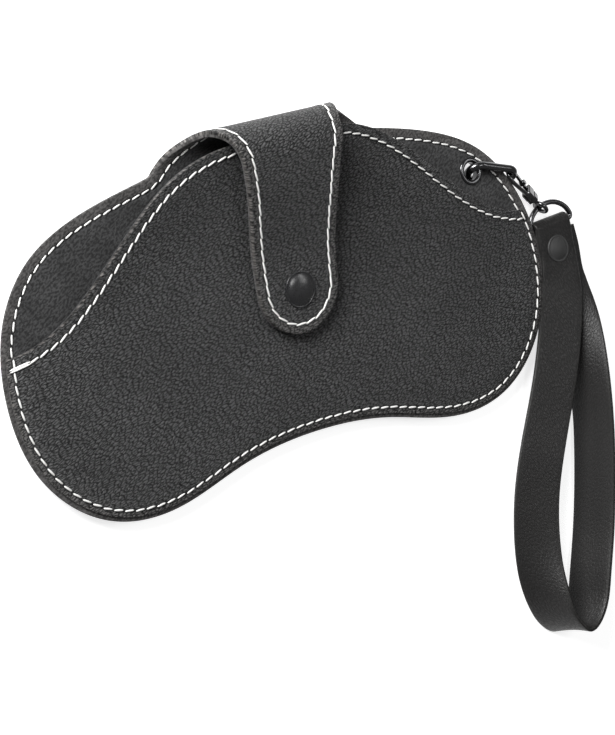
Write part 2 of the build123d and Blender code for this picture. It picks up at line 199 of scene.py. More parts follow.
def make_piece(
    name: str,
    points: Array,
    quads: Array,
    triangles: Array = NO_TRIANGLES,
    marks: dict[str, Array] | None = None,
    sharp: float = 40.0,
) -> bpy.types.Object:
    """Makes one smooth-shaded mesh object at the origin.

    Args:
        name: Name of the piece.
        points: Corners in millimetres.
        quads: Four-sided faces.
        triangles: Three-sided faces.
        marks: Values per corner, a number or a vector each, for the materials to read.
        sharp: Angle in degrees above which an edge is shaded as a crease.

    Returns:
        The object.
    """
    mesh = bpy.data.meshes.new(name)
    mesh.from_pydata((points * MM).tolist(), [], quads.tolist() + triangles.tolist())
    for key, values in (marks or {}).items():
        values = np.asarray(values, np.float32)
        if values.ndim == 1:
            mesh.attributes.new(key, "FLOAT", "POINT").data.foreach_set("value", values)
        else:
            mesh.attributes.new(key, "FLOAT_VECTOR", "POINT").data.foreach_set("vector", values.ravel())
    mesh.polygons.foreach_set("use_smooth", np.ones(len(mesh.polygons), bool))
    mesh.set_sharp_from_angle(angle=math.radians(sharp))
    mesh.update()
    piece = bpy.data.objects.new(name, mesh)
    bpy.context.collection.objects.link(piece)
    return piece


def grid_faces(rows: int, columns: int, wrap_rows: bool = False) -> Array:
    """Quads of a grid of points stored row by row: each row is closed, the rows if asked."""
    i, j = np.meshgrid(np.arange(rows if wrap_rows else rows - 1), np.arange(columns), indexing="ij")
    a, b = i * columns, ((i + 1) % rows) * columns
    k = (j + 1) % columns
    return np.stack([a + j, a + k, b + k, b + j], axis=-1).reshape(-1, 4)


def closed_tube(path: Array, radius: float, sides: int) -> Array:
    """Round tube on a closed path: at each point a circle square to it, its first point uppermost.

    Args:
        path: Points along the middle, the last one next to the first.
        radius: Radius of the tube.
        sides: Points round the tube.

    Returns:
        Points, one row of the tube after another.
    """
    run = unit(np.roll(path, -1, 0) - np.roll(path, 1, 0))
    up = np.array([0.0, 0.0, 1.0])
    first = unit(up - run * (run @ up)[:, None])
    second = np.cross(run, first)
    turn = full_turn(sides)
    ring = np.cos(turn)[None, :, None] * first[:, None] + np.sin(turn)[None, :, None] * second[:, None]
    return (path[:, None] + ring * radius).reshape(-1, 3)


def capped(points: Array, rows: int, columns: int) -> Shell:
    """Closes an open tube of rows with a point in the middle of each end.

    Args:
        points: Points of the tube, row by row.
        rows: Number of rows.
        columns: Points in a row.

    Returns:
        All points, the quads and the end triangles.
    """
    middle = np.array([points[:columns].mean(0), points[-columns:].mean(0)])
    j = np.arange(columns)
    k = (j + 1) % columns
    start = np.column_stack([k, j, np.full(columns, len(points))])
    last = (rows - 1) * columns
    end = np.column_stack([last + j, last + k, np.full(columns, len(points) + 1)])
    every = np.vstack([points, middle])
    quads, triangles = outward(every, grid_faces(rows, columns), np.vstack([start, end]))
    return every, quads, triangles


def turned(profile: Array, sides: int) -> Array:
    """Points of a profile of radius and height carried round the axis, row by row."""
    turn = full_turn(sides)
    r, h = profile[:, :1], profile[:, 1:]
    points = np.stack([r * np.cos(turn), r * np.sin(turn), np.broadcast_to(h, (len(r), sides))], -1)
    return points.reshape(-1, 3)


def revolved(profile: Array, sides: int) -> Shell:
    """Turned shape that both ends close on the axis.

    Args:
        profile: Radius and height, from one pole to the other, the poles left out.
        sides: Points round the axis.

    Returns:
        Points, quads and the triangles at the poles.
    """
    return capped(turned(profile, sides), len(profile), sides)


def placed(points: Array, origin: Array, x_axis: Array, z_axis: Array) -> Array:
    """Points moved from a local frame to the case's frame."""
    x, z = unit(np.asarray(x_axis, float)), unit(np.asarray(z_axis, float))
    return np.asarray(origin) + points @ np.array([x, np.cross(z, x), z])


# Materials


class Nodes:
    """A material under construction, with short ways to add and join its nodes."""

    def __init__(self, name: str) -> None:
        """Starts an empty material."""
        self.material = bpy.data.materials.new(name)
        self.material.use_nodes = True
        self.tree = self.material.node_tree
        self.tree.nodes.clear()

    def add(self, kind: str, inputs: dict | None = None, **settings) -> bpy.types.Node:
        """Adds a node.

        Args:
            kind: Blender's name for the node, without its ShaderNode start.
            inputs: Values or sockets by input name or number.
            settings: Options of the node itself.

        Returns:
            The node.
        """
        made = self.tree.nodes.new("ShaderNode" + kind)
        for key, value in settings.items():
            setattr(made, key, value)
        for key, value in (inputs or {}).items():
            if isinstance(value, Socket):
                self.tree.links.new(value, made.inputs[key])
            else:
                made.inputs[key].default_value = value
        return made

    def math(self, operation: str, *values: object) -> Socket:
        """One step of arithmetic on numbers or sockets."""
        return self.add("Math", dict(enumerate(values)), operation=operation).outputs[0]

    def vector(self, operation: str, one: object, two: object) -> Socket:
        """One step of arithmetic on vectors."""
        return self.add("VectorMath", {0: one, 1: two}, operation=operation).outputs[0]

    def times(self, product: Socket, *factors: object) -> Socket:
        """A value multiplied by numbers or sockets."""
        for factor in factors:
            product = self.math("MULTIPLY", product, factor)
        return product

    def band(self, value: Socket, low: float, high: float, a: float = 0.0, b: float = 1.0) -> Socket:
        """Value carried smoothly from low..high to a..b."""
        inputs = {"Value": value, "From Min": low, "From Max": high, "To Min": a, "To Max": b}
        return self.add("MapRange", inputs, interpolation_type="SMOOTHSTEP").outputs[0]

    def mix(self, share: object, one: object, two: object) -> Socket:
        """Mixes two colours."""
        return self.add("Mix", {0: share, 6: one, 7: two}, data_type="RGBA").outputs[2]

    def shaded(self, colour: Socket, shade: Socket) -> Socket:
        """A colour made lighter or darker."""
        return self.add("HueSaturation", {"Color": colour, "Value": shade}).outputs[0]

    def mark(self, name: str) -> Socket:
        """Reads one of the mesh's marks that hold a number."""
        return self.add("Attribute", attribute_name=name).outputs["Fac"]

    def pattern(self, name: str) -> Socket:
        """Reads one of the mesh's marks that hold a vector."""
        return self.add("Attribute", attribute_name=name).outputs["Vector"]

    def place(self, source: Socket, turn: float, size: Triple) -> Socket:
        """Turns a pattern about Z, in degrees, then divides it by the size of its features."""
        turned_by = self.add("Mapping", {"Vector": source, "Rotation": (0, 0, math.radians(turn))})
        scale = tuple(1 / s for s in size)
        return self.add("Mapping", {"Vector": turned_by.outputs[0], "Scale": scale}).outputs[0]

    def noise(
        self, where: Socket, detail: float, scale: float = 1.0, rough: float = 0.5, twist: float = 0.0
    ) -> Socket:
        """Noise from 0 to 1 with features about one unit of its place across, over its scale."""
        inputs = {"Vector": where, "Scale": scale, "Detail": detail, "Roughness": rough, "Distortion": twist}
        return self.add("TexNoise", inputs).outputs["Fac"]

    def bump(self, height: Socket, relief: float, strength: float = 1.0) -> Socket:
        """Normal of a relief in which a height of 1 stands for so many millimetres."""
        inputs = {"Height": height, "Strength": strength, "Distance": relief * MM}
        return self.add("Bump", inputs).outputs[0]

    def surface(self, colour: Socket, roughness: object, normal: Socket, **more: float) -> bpy.types.Material:
        """Finishes the material with Blender's general shader.

        Args:
            colour: Colour of the surface.
            roughness: Its roughness.
            normal: Its normal.
            more: Other inputs of the shader, with low lines for the spaces in their names.

        Returns:
            The material.
        """
        inputs = {"Base Color": colour, "Roughness": roughness, "Normal": normal}
        inputs.update({key.replace("_", " "): value for key, value in more.items()})
        return self.finish(self.add("BsdfPrincipled", inputs))

    def finish(self, shader: bpy.types.Node) -> bpy.types.Material:
        """Joins the shader to the output."""
        self.add("OutputMaterial", {"Surface": shader.outputs[0]})
        return self.material


@dataclass(frozen=True)
class Hide:
    """Grained leather: slanting pebbles and fine pores, smoother and paler outside its stitches, its colour
    with painted shade in its creases, pores and stitch furrows and painted highlight on its pebbles.

    Sizes are in millimetres. A pair gives the two ends of the range over which something fades.
    """

    name: str
    colour: Triple = (0.047, 0.047, 0.0475)
    margin: Triple = (0.06, 0.058, 0.057)
    cut_edge: Triple = (0.066, 0.062, 0.059)
    grain_turn: float = -17.0
    grain_long: float = 1.75
    grain_wide: float = 0.68
    relief: float = 0.45
    painted_grain_contrast: float = 1.0
    roughness: float = 0.42
    gloss: float = 0.35
    bend_size: Triple = (7.0, 3.5, 3.0)
    bend_push: float = 1.4
    pebble_rise: float = 0.34
    pebble_share: float = 0.6
    ridge_size: Pair = (0.7, 0.4)
    ridge_fade: Pair = (0.38, 0.62)
    pore_size: Pair = (0.35, 0.2)
    crease_depth: float = 0.75
    pore_depth: float = 0.5
    grain_shade_fade: Pair = (0.38, 0.95)
    cloud_size: Triple = (30.0, 22.0, 10.0)
    cloud_fade: Pair = (0.3, 0.7)
    cloud_tone: float = 0.12
    margin_fade: Pair = (-0.35, 0.25)
    margin_calm: float = 0.3
    furrow_shade_fade: Pair = (0.3, 0.75)
    furrow_shade_tone: float = 0.3

    def stretched(self, n: Nodes, share: Pair) -> Socket:
        """The pattern turned along the grain and divided by a share of the grain's size."""
        size = (self.grain_long * share[0], self.grain_wide * share[1], 1.0)
        return n.place(n.pattern("pattern"), self.grain_turn, size)

    def grain(self, n: Nodes) -> Socket:
        """Height of the grain.

        Pebbles are cells stretched along the grain and bent by slower noise, rising from the
        creases between them. Stretched noise ridges them and finer noise gives the pores.
        """
        slow = n.place(n.pattern("pattern"), self.grain_turn, self.bend_size)
        bend = n.add("TexNoise", {"Vector": slow, "Scale": 1.0, "Detail": 1.0}).outputs["Color"]
        push = n.vector("MULTIPLY", n.vector("SUBTRACT", bend, (0.5,) * 3), (self.bend_push,) * 3)
        spot = n.vector("ADD", self.stretched(n, (1.0, 1.0)), push)
        flat = {"feature": "DISTANCE_TO_EDGE", "voronoi_dimensions": "2D"}
        cells = n.add("TexVoronoi", {"Vector": spot, "Scale": 1.0}, **flat)
        pebbles = n.band(cells.outputs["Distance"], 0.0, self.pebble_rise)
        ridges = n.noise(self.stretched(n, self.ridge_size), 1.0, twist=0.2)
        ridges = n.band(ridges, *self.ridge_fade)
        creases = n.math("ADD", n.times(pebbles, self.pebble_share), n.times(ridges, 1 - self.pebble_share))
        pores = n.noise(self.stretched(n, self.pore_size), 2.0, rough=0.6)
        return n.math("ADD", n.times(creases, self.crease_depth), n.times(pores, self.pore_depth))

    def build(self) -> bpy.types.Material:
        """Makes the material.

        The mark margin is the distance inside the stitches, seam the distance from them on
        either side, and wall is 1 on a cut edge.
        """
        n = Nodes(self.name)
        height = self.grain(n)
        inside = n.band(n.mark("margin"), *self.margin_fade)
        cloud = n.noise(n.place(n.pattern("pattern"), 0, self.cloud_size), 2.0)
        tone = n.band(cloud, *self.cloud_fade, 1 - self.cloud_tone, 1 + self.cloud_tone)
        # painted shade and painted highlight: the colour darkens in the grain's creases and pores and
        # lightens on its pebbles, by the grain's height
        depth = n.band(height, *self.grain_shade_fade, 1 - self.painted_grain_contrast, 1 + self.painted_grain_contrast)
        # painted shade: the leather's colour darkens in the furrow along the stitches
        furrow_shade = n.band(n.mark("seam"), *self.furrow_shade_fade, self.furrow_shade_tone, 1.0)
        base = n.mix(inside, (*self.margin, 1), (*self.colour, 1))
        base = n.mix(n.band(n.mark("wall"), 0.3, 0.7), base, (*self.cut_edge, 1))
        base = n.shaded(base, n.times(tone, depth, furrow_shade))
        calm = n.math("ADD", n.times(inside, 1 - self.margin_calm), self.margin_calm)
        rough = n.band(height, 0.3, 1.0, self.roughness + 0.12, self.roughness - 0.04)
        normal = n.bump(n.times(height, calm), self.relief)
        return n.surface(base, rough, normal, Specular_IOR_Level=self.gloss)


@dataclass(frozen=True)
class Microfibre:
    """Short matt nap with a cloudy tone, paler where it shows outside the stitches."""

    name: str
    colour: Triple = (0.031, 0.031, 0.0315)
    margin: Triple = (0.056, 0.054, 0.053)
    nap_turn: float = -30.0
    nap_size: Triple = (1.0, 0.6, 0.6)
    nap_tone: Pair = (0.5, 1.5)
    cloud_size: Triple = (9.0, 5.0, 5.0)
    cloud_tone: Pair = (0.86, 1.14)
    relief: float = 0.16

    def build(self) -> bpy.types.Material:
        """Makes the material: short stretched noise for the nap, broad noise for where it is brushed."""
        n = Nodes(self.name)
        pattern = n.pattern("pattern")
        nap = n.noise(n.place(pattern, self.nap_turn, self.nap_size), 3.0)
        cloud = n.noise(n.place(pattern, 0, self.cloud_size), 3.0)
        tone = n.times(n.band(nap, 0.38, 0.62, *self.nap_tone), n.band(cloud, 0.35, 0.65, *self.cloud_tone))
        # painted shade: the lining's colour darkens along its stitches
        furrow_shade = n.band(n.mark("seam"), 0.3, 0.75, 0.35, 1.0)
        inside = n.band(n.mark("margin"), -0.3, 0.3)
        base = n.shaded(n.mix(inside, (*self.margin, 1), (*self.colour, 1)), n.times(tone, furrow_shade))
        soft = {"Specular_IOR_Level": 0.15, "Sheen_Weight": 0.12, "Sheen_Roughness": 0.5}
        return n.surface(base, 0.92, n.bump(nap, self.relief), **soft)


@dataclass(frozen=True)
class Thread:
    """Twisted white sewing thread, with painted shade in grey between its plies, and grey where dust has
    settled.
    """

    name: str
    colour: Triple = (0.88, 0.875, 0.86)
    # painted shade: the grey of the hollows between the plies
    between: Triple = (0.66, 0.65, 0.63)
    dust: Triple = (0.6, 0.59, 0.57)
    relief: float = 0.06

    def build(self) -> bpy.types.Material:
        """Makes the material: slanted bands along each stitch for the twist of its plies, their hollows
        painted grey as shade.
        """
        n = Nodes(self.name)
        along_it = n.pattern("twist")
        twist = n.add("TexWave", {"Vector": along_it, "Scale": 0.6, "Distortion": 0.5}).outputs["Fac"]
        dusty = n.band(n.noise(along_it, 2.0, scale=2.0), 0.35, 0.8, 0.0, 0.15)
        # painted shade: grey in the twist's hollows between the plies
        base = n.mix(n.band(twist, 0.0, 0.45), (*self.between, 1), (*self.colour, 1))
        base = n.mix(dusty, base, (*self.dust, 1))
        return n.surface(base, 0.6, n.bump(twist, self.relief, 0.7))


@dataclass(frozen=True)
class Metal:
    """Plated or plain metal with faint wear and a slight unevenness."""

    name: str
    colour: Triple
    rubbed: Triple
    metallic: float
    roughness: float
    coat: float = 0.0
    gloss: float = 0.5
    unevenness: float = 0.012

    def build(self) -> bpy.types.Material:
        """Makes the material: noise picks rubbed places and shifts the gloss a little."""
        n = Nodes(self.name)
        where = n.add("TexCoord").outputs["Object"]
        wear = n.noise(where, 5.0, scale=420.0, rough=0.6)
        base = n.mix(n.band(wear, 0.55, 0.75, 0.0, 0.6), (*self.colour, 1), (*self.rubbed, 1))
        rough = n.band(wear, 0.3, 0.7, self.roughness * 0.85, self.roughness * 1.2)
        normal = n.bump(n.noise(where, 2.0, scale=900.0), self.unevenness, 0.5)
        more = {"Metallic": self.metallic, "Specular_IOR_Level": self.gloss}
        return n.surface(base, rough, normal, Coat_Weight=self.coat, Coat_Roughness=0.1, **more)


class Finish(Enum):
    """The finishes of the case."""

    CASE_LEATHER = Hide("case leather")
    STRAP_LEATHER = Hide(
        "strap leather",
        colour=(0.0095, 0.009, 0.0088),
        margin=(0.011, 0.0105, 0.01),
        cut_edge=(0.035, 0.032, 0.03),
        grain_turn=-62.0,
        grain_long=1.6,
        grain_wide=0.9,
        relief=0.07,
        painted_grain_contrast=0.3,
        roughness=0.4,
        gloss=0.32,
    )
    LINING = Microfibre("microfibre lining")
    THREAD = Thread("sewing thread")
    BLACK_METAL = Metal("black plated metal", (0.11, 0.11, 0.113), (0.15, 0.15, 0.15), 1.0, 0.17)
    CAP_METAL = Metal(
        "black snap cap", (0.006, 0.006, 0.007), (0.012, 0.012, 0.012), 0.0, 0.27, coat=0.15, gloss=1.0
    )
    RIVET_METAL = Metal("matt rivet", (0.03, 0.03, 0.03), (0.045, 0.045, 0.045), 0.2, 0.5)
    SPRING_STEEL = Metal("spring steel", (0.35, 0.35, 0.36), (0.5, 0.5, 0.5), 1.0, 0.3)

    def material(self) -> bpy.types.Material:
        """The finish's material, made once."""
        return bpy.data.materials.get(self.value.name) or self.value.build()


def dress(piece: bpy.types.Object, finish: Finish) -> bpy.types.Object:
    """Gives a piece its finish."""
    piece.data.materials.clear()
    piece.data.materials.append(finish.material())
    return piece


# The case's own surfaces


@dataclass
class CaseShape:
    """Sizes of the sewn panels and the tab, in millimetres, and the surfaces they lie on.

    The edges have only the points that their curves need: the lower edge is the same on both
    sides, and each side has its own shoulder. The roll's half widths stand at heights over the
    rim, the waist's at distances below the root.
    """

    leather: float = 1.0
    lining: float = 0.8
    seam_gap: float = 0.02
    half_length: float = 95.0
    rim_z: float = 3.1
    root_y: float = 44.3
    roll_radius: float = 9.15
    lower_edge: tuple = ((0, -36.5), (26.7, -39.3), (49.6, -44.9), (71.7, -42.6), (90.4, -25.3), (95.0, -4.2))
    right_shoulder: tuple = ((90.6, 15.0), (79.8, 29.4), (62.2, 38.3), (45.0, 42.6), (37.0, 44.3))
    left_shoulder: tuple = ((91.4, 15.2), (80.3, 29.9), (62.2, 38.6), (45.0, 42.6), (37.0, 44.3))
    roll_widths: tuple = (
        (0.0, 37.0), (2.0, 30.6), (5.5, 25.0), (9.15, 22.2), (12.4, 21.0), (15.0, 19.6), (18.3, 17.4),
    )
    waist: tuple = ((0.0, 17.4), (9.0, 15.9), (18.0, 15.1), (28.0, 14.4), (38.4, 13.9))
    tip_y: float = -8.0
    tab_slope: float = 16.5
    end_slope: float = 7.0
    snap_y: float = 5.0
    snap_gap: float = 1.5
    flat_reach: float = 6.3
    flat_length: float = 26.0
    soft_run: float = 11.0
    tab_hinge: Pair = (50.0, 33.0)
    mouth_shelf: float = 8.0
    mouth_height: float = 40.5
    mouth_reach: float = 61.65
    mouth_power: float = 3.5
    left_drop: float = 2.0
    left_drop_from: float = 60.0
    left_drop_over: float = 30.0
    gape: float = 9.4
    gape_foot: float = -40.0
    gape_powers: Pair = (1.5, 3.2)
    dish_depth: float = 3.2
    dish_y: float = 1.0
    dish_half: Pair = (68.0, 26.0)
    dish_fade: float = 0.5
    eyelet: Pair = (74.5, 24.0)
    sheet: float = field(init=False)
    roll_mid: float = field(init=False)
    mid_arch: float = field(init=False)
    crest: float = field(init=False)
    profile: Array = field(init=False)
    profile_run: Array = field(init=False)

    def __post_init__(self) -> None:
        """Works out the thickness, the stations of the roll and the side profile of the tab."""
        self.sheet = self.leather + self.lining
        self.roll_mid = self.roll_radius - self.sheet / 2
        self.mid_arch = self.root_y + self.roll_mid * math.pi / 2
        self.crest = self.root_y + self.roll_mid * math.pi
        self.profile = self.tab_profile()
        self.profile_run = lengths(self.profile)

    def mouth(self, x: Array) -> Array:
        """Height of the front panel's cut edge: a flat-topped bell over a shelf, lower at the left end."""
        bell = self.mouth_height * np.exp(-((np.abs(x) / self.mouth_reach) ** self.mouth_power))
        drop = self.left_drop * soft_step((-x - self.left_drop_from) / self.left_drop_over)
        return self.mouth_shelf + bell - drop

    def rise(self, x: Array, y: Array) -> Array:
        """How far the front stands off the seam: most at the mouth, none at the ends and the foot."""
        across = np.maximum(0, 1 - (x / self.half_length) ** 2) ** self.gape_powers[0]
        up = np.maximum(0, (y - self.gape_foot) / (self.mouth(x) - self.gape_foot))
        return self.gape * across * up ** self.gape_powers[1]

    def dish(self, x: Array, y: Array) -> Array:
        """Height of the back's outer face: level at the rim, easing down to a flat patch."""
        far = np.hypot(x / self.dish_half[0], (y - self.dish_y) / self.dish_half[1])
        t = np.clip((1 - far) / self.dish_fade, 0, 1)
        return np.maximum(0, self.rim_z - self.dish_depth * t**3 * (10 - 15 * t + 6 * t * t))

    def front(self, x: Array, y: Array, lift: Array) -> Array:
        """Front panel: a point of the pattern, lifted off the panel's inner face."""
        z = self.rim_z + self.sheet + self.seam_gap + self.rise(x, y) + lift
        return np.stack([x, y, z], -1)

    def back(self, x: Array, s: Array, depth: Array) -> Array:
        """Back panel and the roll: flat to the root, then round the hub of the roll."""
        turn = np.maximum(0, s - self.root_y) / self.roll_mid
        reach = self.roll_radius - depth
        y = np.where(s > self.root_y, self.root_y + reach * np.sin(turn), s)
        rolled = self.rim_z + self.roll_radius - reach * np.cos(turn)
        z = np.where(s > self.root_y, rolled, self.dish(x, s) + depth)
        return np.stack([x, y, z], -1)

    def snap_seat(self) -> Array:
        """Point of the front's outer face under the snap."""
        lift = float(self.rise(np.array(0.0), np.array(self.snap_y)))
        return np.array([0, self.snap_y, self.rim_z + 2 * self.sheet + self.seam_gap + lift])

    def tab_profile(self) -> Array:
        """Side view of the tab's outer face from the crest: a bend, a soft run and a flat end."""
        lean, end = math.radians(self.tab_slope), math.radians(self.end_slope)
        turn = np.linspace(0, lean, 40)
        hub = np.array([self.root_y, self.rim_z + self.roll_radius])
        bend = hub + self.roll_radius * np.column_stack([-np.sin(turn), np.cos(turn)])
        over = (self.snap_gap + self.sheet) / math.cos(end)
        fall = np.array([1, math.tan(end)])
        flat = self.snap_seat()[1:] + [0, over] + self.flat_reach * fall
        half = (bend[-1, 0] - flat[0] - self.soft_run) / 2
        straight = bend[-1] - half * np.array([1, math.tan(lean)])
        ways = [-np.array([math.cos(angle), math.sin(angle)]) for angle in (lean, end)]
        down = spline(np.array([bend[-1], straight, flat]), 120, *ways)
        run = np.linspace(flat, flat - self.flat_length * fall, 60)
        return np.vstack([bend[:-1], down[:-1], run])

    def tab(self, x: Array, s: Array, depth: Array) -> Array:
        """Tab: round the hub to the crest, then along the side profile, sunk square to it."""
        place = np.maximum(0, s - self.crest)
        middle = along(self.profile, place)
        tangent = unit(np.gradient(self.profile, self.profile_run, axis=0))
        run = unit(np.column_stack([np.interp(place, self.profile_run, tangent[:, i]) for i in (0, 1)]))
        late = np.stack([x, middle[:, 0] - depth * run[:, 1], middle[:, 1] + depth * run[:, 0]], -1)
        early = self.back(x, np.minimum(s, self.crest), depth)
        return np.where((s > self.crest)[:, None], late, early)

    def pattern_of(self, y: Array) -> Array:
        """Distance along the tab's pattern at which its outer face is at y, beyond the crest."""
        return self.crest + np.interp(-y, -self.profile[:, 0], self.profile_run)

    def rim_curve(self) -> tuple[Array, Array]:
        """Right edge from the foot up to the root, and left edge from the root down to the foot."""
        level, away = np.array([1.0, 0.0]), unit(np.array([-1.0, 0.25]))
        right, left = (
            spline(np.array(self.lower_edge + shoulder), 900, level, away)
            for shoulder in (self.right_shoulder, self.left_shoulder)
        )
        return right, mirrored(left)

    def roll_edge(self, start: float, end: float) -> Array:
        """Right edge of the roll in the pattern, from one distance along it to another."""
        rows = np.array(self.roll_widths)
        turn = np.arccos(1 - rows[:, 0] / self.roll_radius)
        run = self.root_y + self.roll_mid * turn
        curve = spline(np.column_stack([rows[:, 1], run]), 500)
        keep = (curve[:, 1] >= start - 1e-6) & (curve[:, 1] <= end + 1e-6)
        return curve[keep]

    def tab_edge(self) -> Array:
        """Right edge of the tab in the pattern from mid roll to the middle of its round tip."""
        rows = np.array(self.waist)
        side = spline(np.column_stack([rows[:, 1], self.root_y - rows[:, 0]]), 300)
        turn = np.linspace(0, np.pi / 2, 120)[1:]
        radius = rows[-1, 1]
        tip = circle(turn) * [radius, -radius] + [0, self.tip_y + radius]
        below = np.vstack([side, tip])
        below = np.column_stack([below[:, 0], self.pattern_of(below[:, 1])])
        return np.vstack([self.roll_edge(self.mid_arch, self.crest)[:-1], below])

    def blend_at_root(self, piece: bpy.types.Object) -> None:
        """Bakes the placement of a piece at the root into its mesh."""
        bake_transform(piece)

    def blend_at_crest(self, piece: bpy.types.Object) -> None:
        """Bakes the placement of a piece on the roll or the tab into its mesh."""
        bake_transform(piece)


class Edge(Enum):
    """What becomes of a run of a panel's edge."""

    SEWN = "sewn to its neighbour"
    MOUTH = "left open at the mouth"
    CUT = "cut across and hidden"


@dataclass
class Outline:
    """A closed edge in the pattern, anticlockwise, with evenly spaced points."""

    points: Array
    kinds: list[Edge]
    corner: Array

    @classmethod
    def join(cls, runs: list[tuple[Array, Edge]], spacing: float) -> "Outline":
        """Joins runs end to end, each with what becomes of it."""
        parts = [even(run, spacing) for run, _ in runs]
        counts = [len(part) for part in parts]
        corner = np.zeros(sum(counts), bool)
        corner[np.cumsum([0] + counts[:-1])] = True
        kinds = [kind for count, (_, kind) in zip(counts, runs) for _ in range(count)]
        return cls(np.vstack(parts), kinds, corner)

    def of(self, *kinds: Edge) -> Array:
        """Which points belong to runs of some kinds."""
        return np.array([kind in kinds for kind in self.kinds])

    def inward(self) -> Array:
        """Unit direction into the shape at each point."""
        run = np.roll(self.points, -1, 0) - np.roll(self.points, 1, 0)
        return unit(np.column_stack([-run[:, 1], run[:, 0]]))

    def set_in(self, distance: float) -> Array:
        """The points moved inwards by a distance."""
        return self.points + self.inward() * distance

    def from_corner(self, which: Array) -> Array:
        """Distance along the edge from each point to the nearest of some corners."""
        step = np.linalg.norm(np.roll(self.points, -1, 0) - self.points, axis=1)
        run = np.r_[0, np.cumsum(step)]
        total, place = run[-1], run[:-1]
        gap = np.abs(place[:, None] - place[which][None])
        return np.minimum(gap, total - gap).min(1)

    def distance(self, spots: Array, *kinds: Edge) -> Array:
        """Distance of spots of the pattern from the nearest point of some kinds of edge."""
        return nearest(spots, self.points[self.of(*kinds)])


def within(spots: Array, ring: Array) -> Array:
    """Which spots lie inside a ring: those whose ray to the left crosses it an odd number of times."""
    a, b = ring, np.roll(ring, -1, 0)
    slope = (b[:, 0] - a[:, 0]) / np.where(b[:, 1] == a[:, 1], 1e-12, b[:, 1] - a[:, 1])
    x, y = spots[:, :1], spots[:, 1:]
    spans = (a[None, :, 1] > y) != (b[None, :, 1] > y)
    left = a[None, :, 0] + slope[None] * (y - a[None, :, 1]) < x
    return (spans & left).sum(1) % 2 == 1


def filled(ring: Array, spacing: float) -> tuple[Array, Array]:
    """Fills a ring with evenly spread spots joined into triangles.

    The spots stand in rows like a honeycomb, and a triangulation keeps the ring's own edges.

    Args:
        ring: Closed ring of the pattern, anticlockwise.
        spacing: Distance between neighbouring spots.

    Returns:
        The spots added inside the ring, and triangles numbered over the ring and then the spots.
    """
    low, high = ring.min(0), ring.max(0)
    rows = np.arange(low[1], high[1], spacing * math.sqrt(0.75))
    columns = np.arange(low[0], high[0], spacing)
    x, y = np.meshgrid(columns, rows)
    x = x + (np.arange(len(rows)) % 2)[:, None] * spacing / 2
    spots = np.column_stack([x.ravel(), y.ravel()])
    spots = spots[within(spots, ring)]
    spots = spots[nearest(spots, ring) > 0.6 * spacing]
    every = np.vstack([ring, spots])
    count = len(ring)
    edges = np.column_stack([np.arange(count), (np.arange(count) + 1) % count])
    made = delaunay_2d_cdt([Vector(p) for p in every.tolist()], edges.tolist(), [], 1, 1e-7)
    source = np.array([origin[0] for origin in made[3]])
    triangles = source[np.array(made[2])]
    a, b, c = (every[triangles[:, i]] for i in range(3))
    area = (b - a)[:, 0] * (c - a)[:, 1] - (b - a)[:, 1] * (c - a)[:, 0]
    return spots, np.where((area < 0)[:, None], triangles[:, ::-1], triangles)


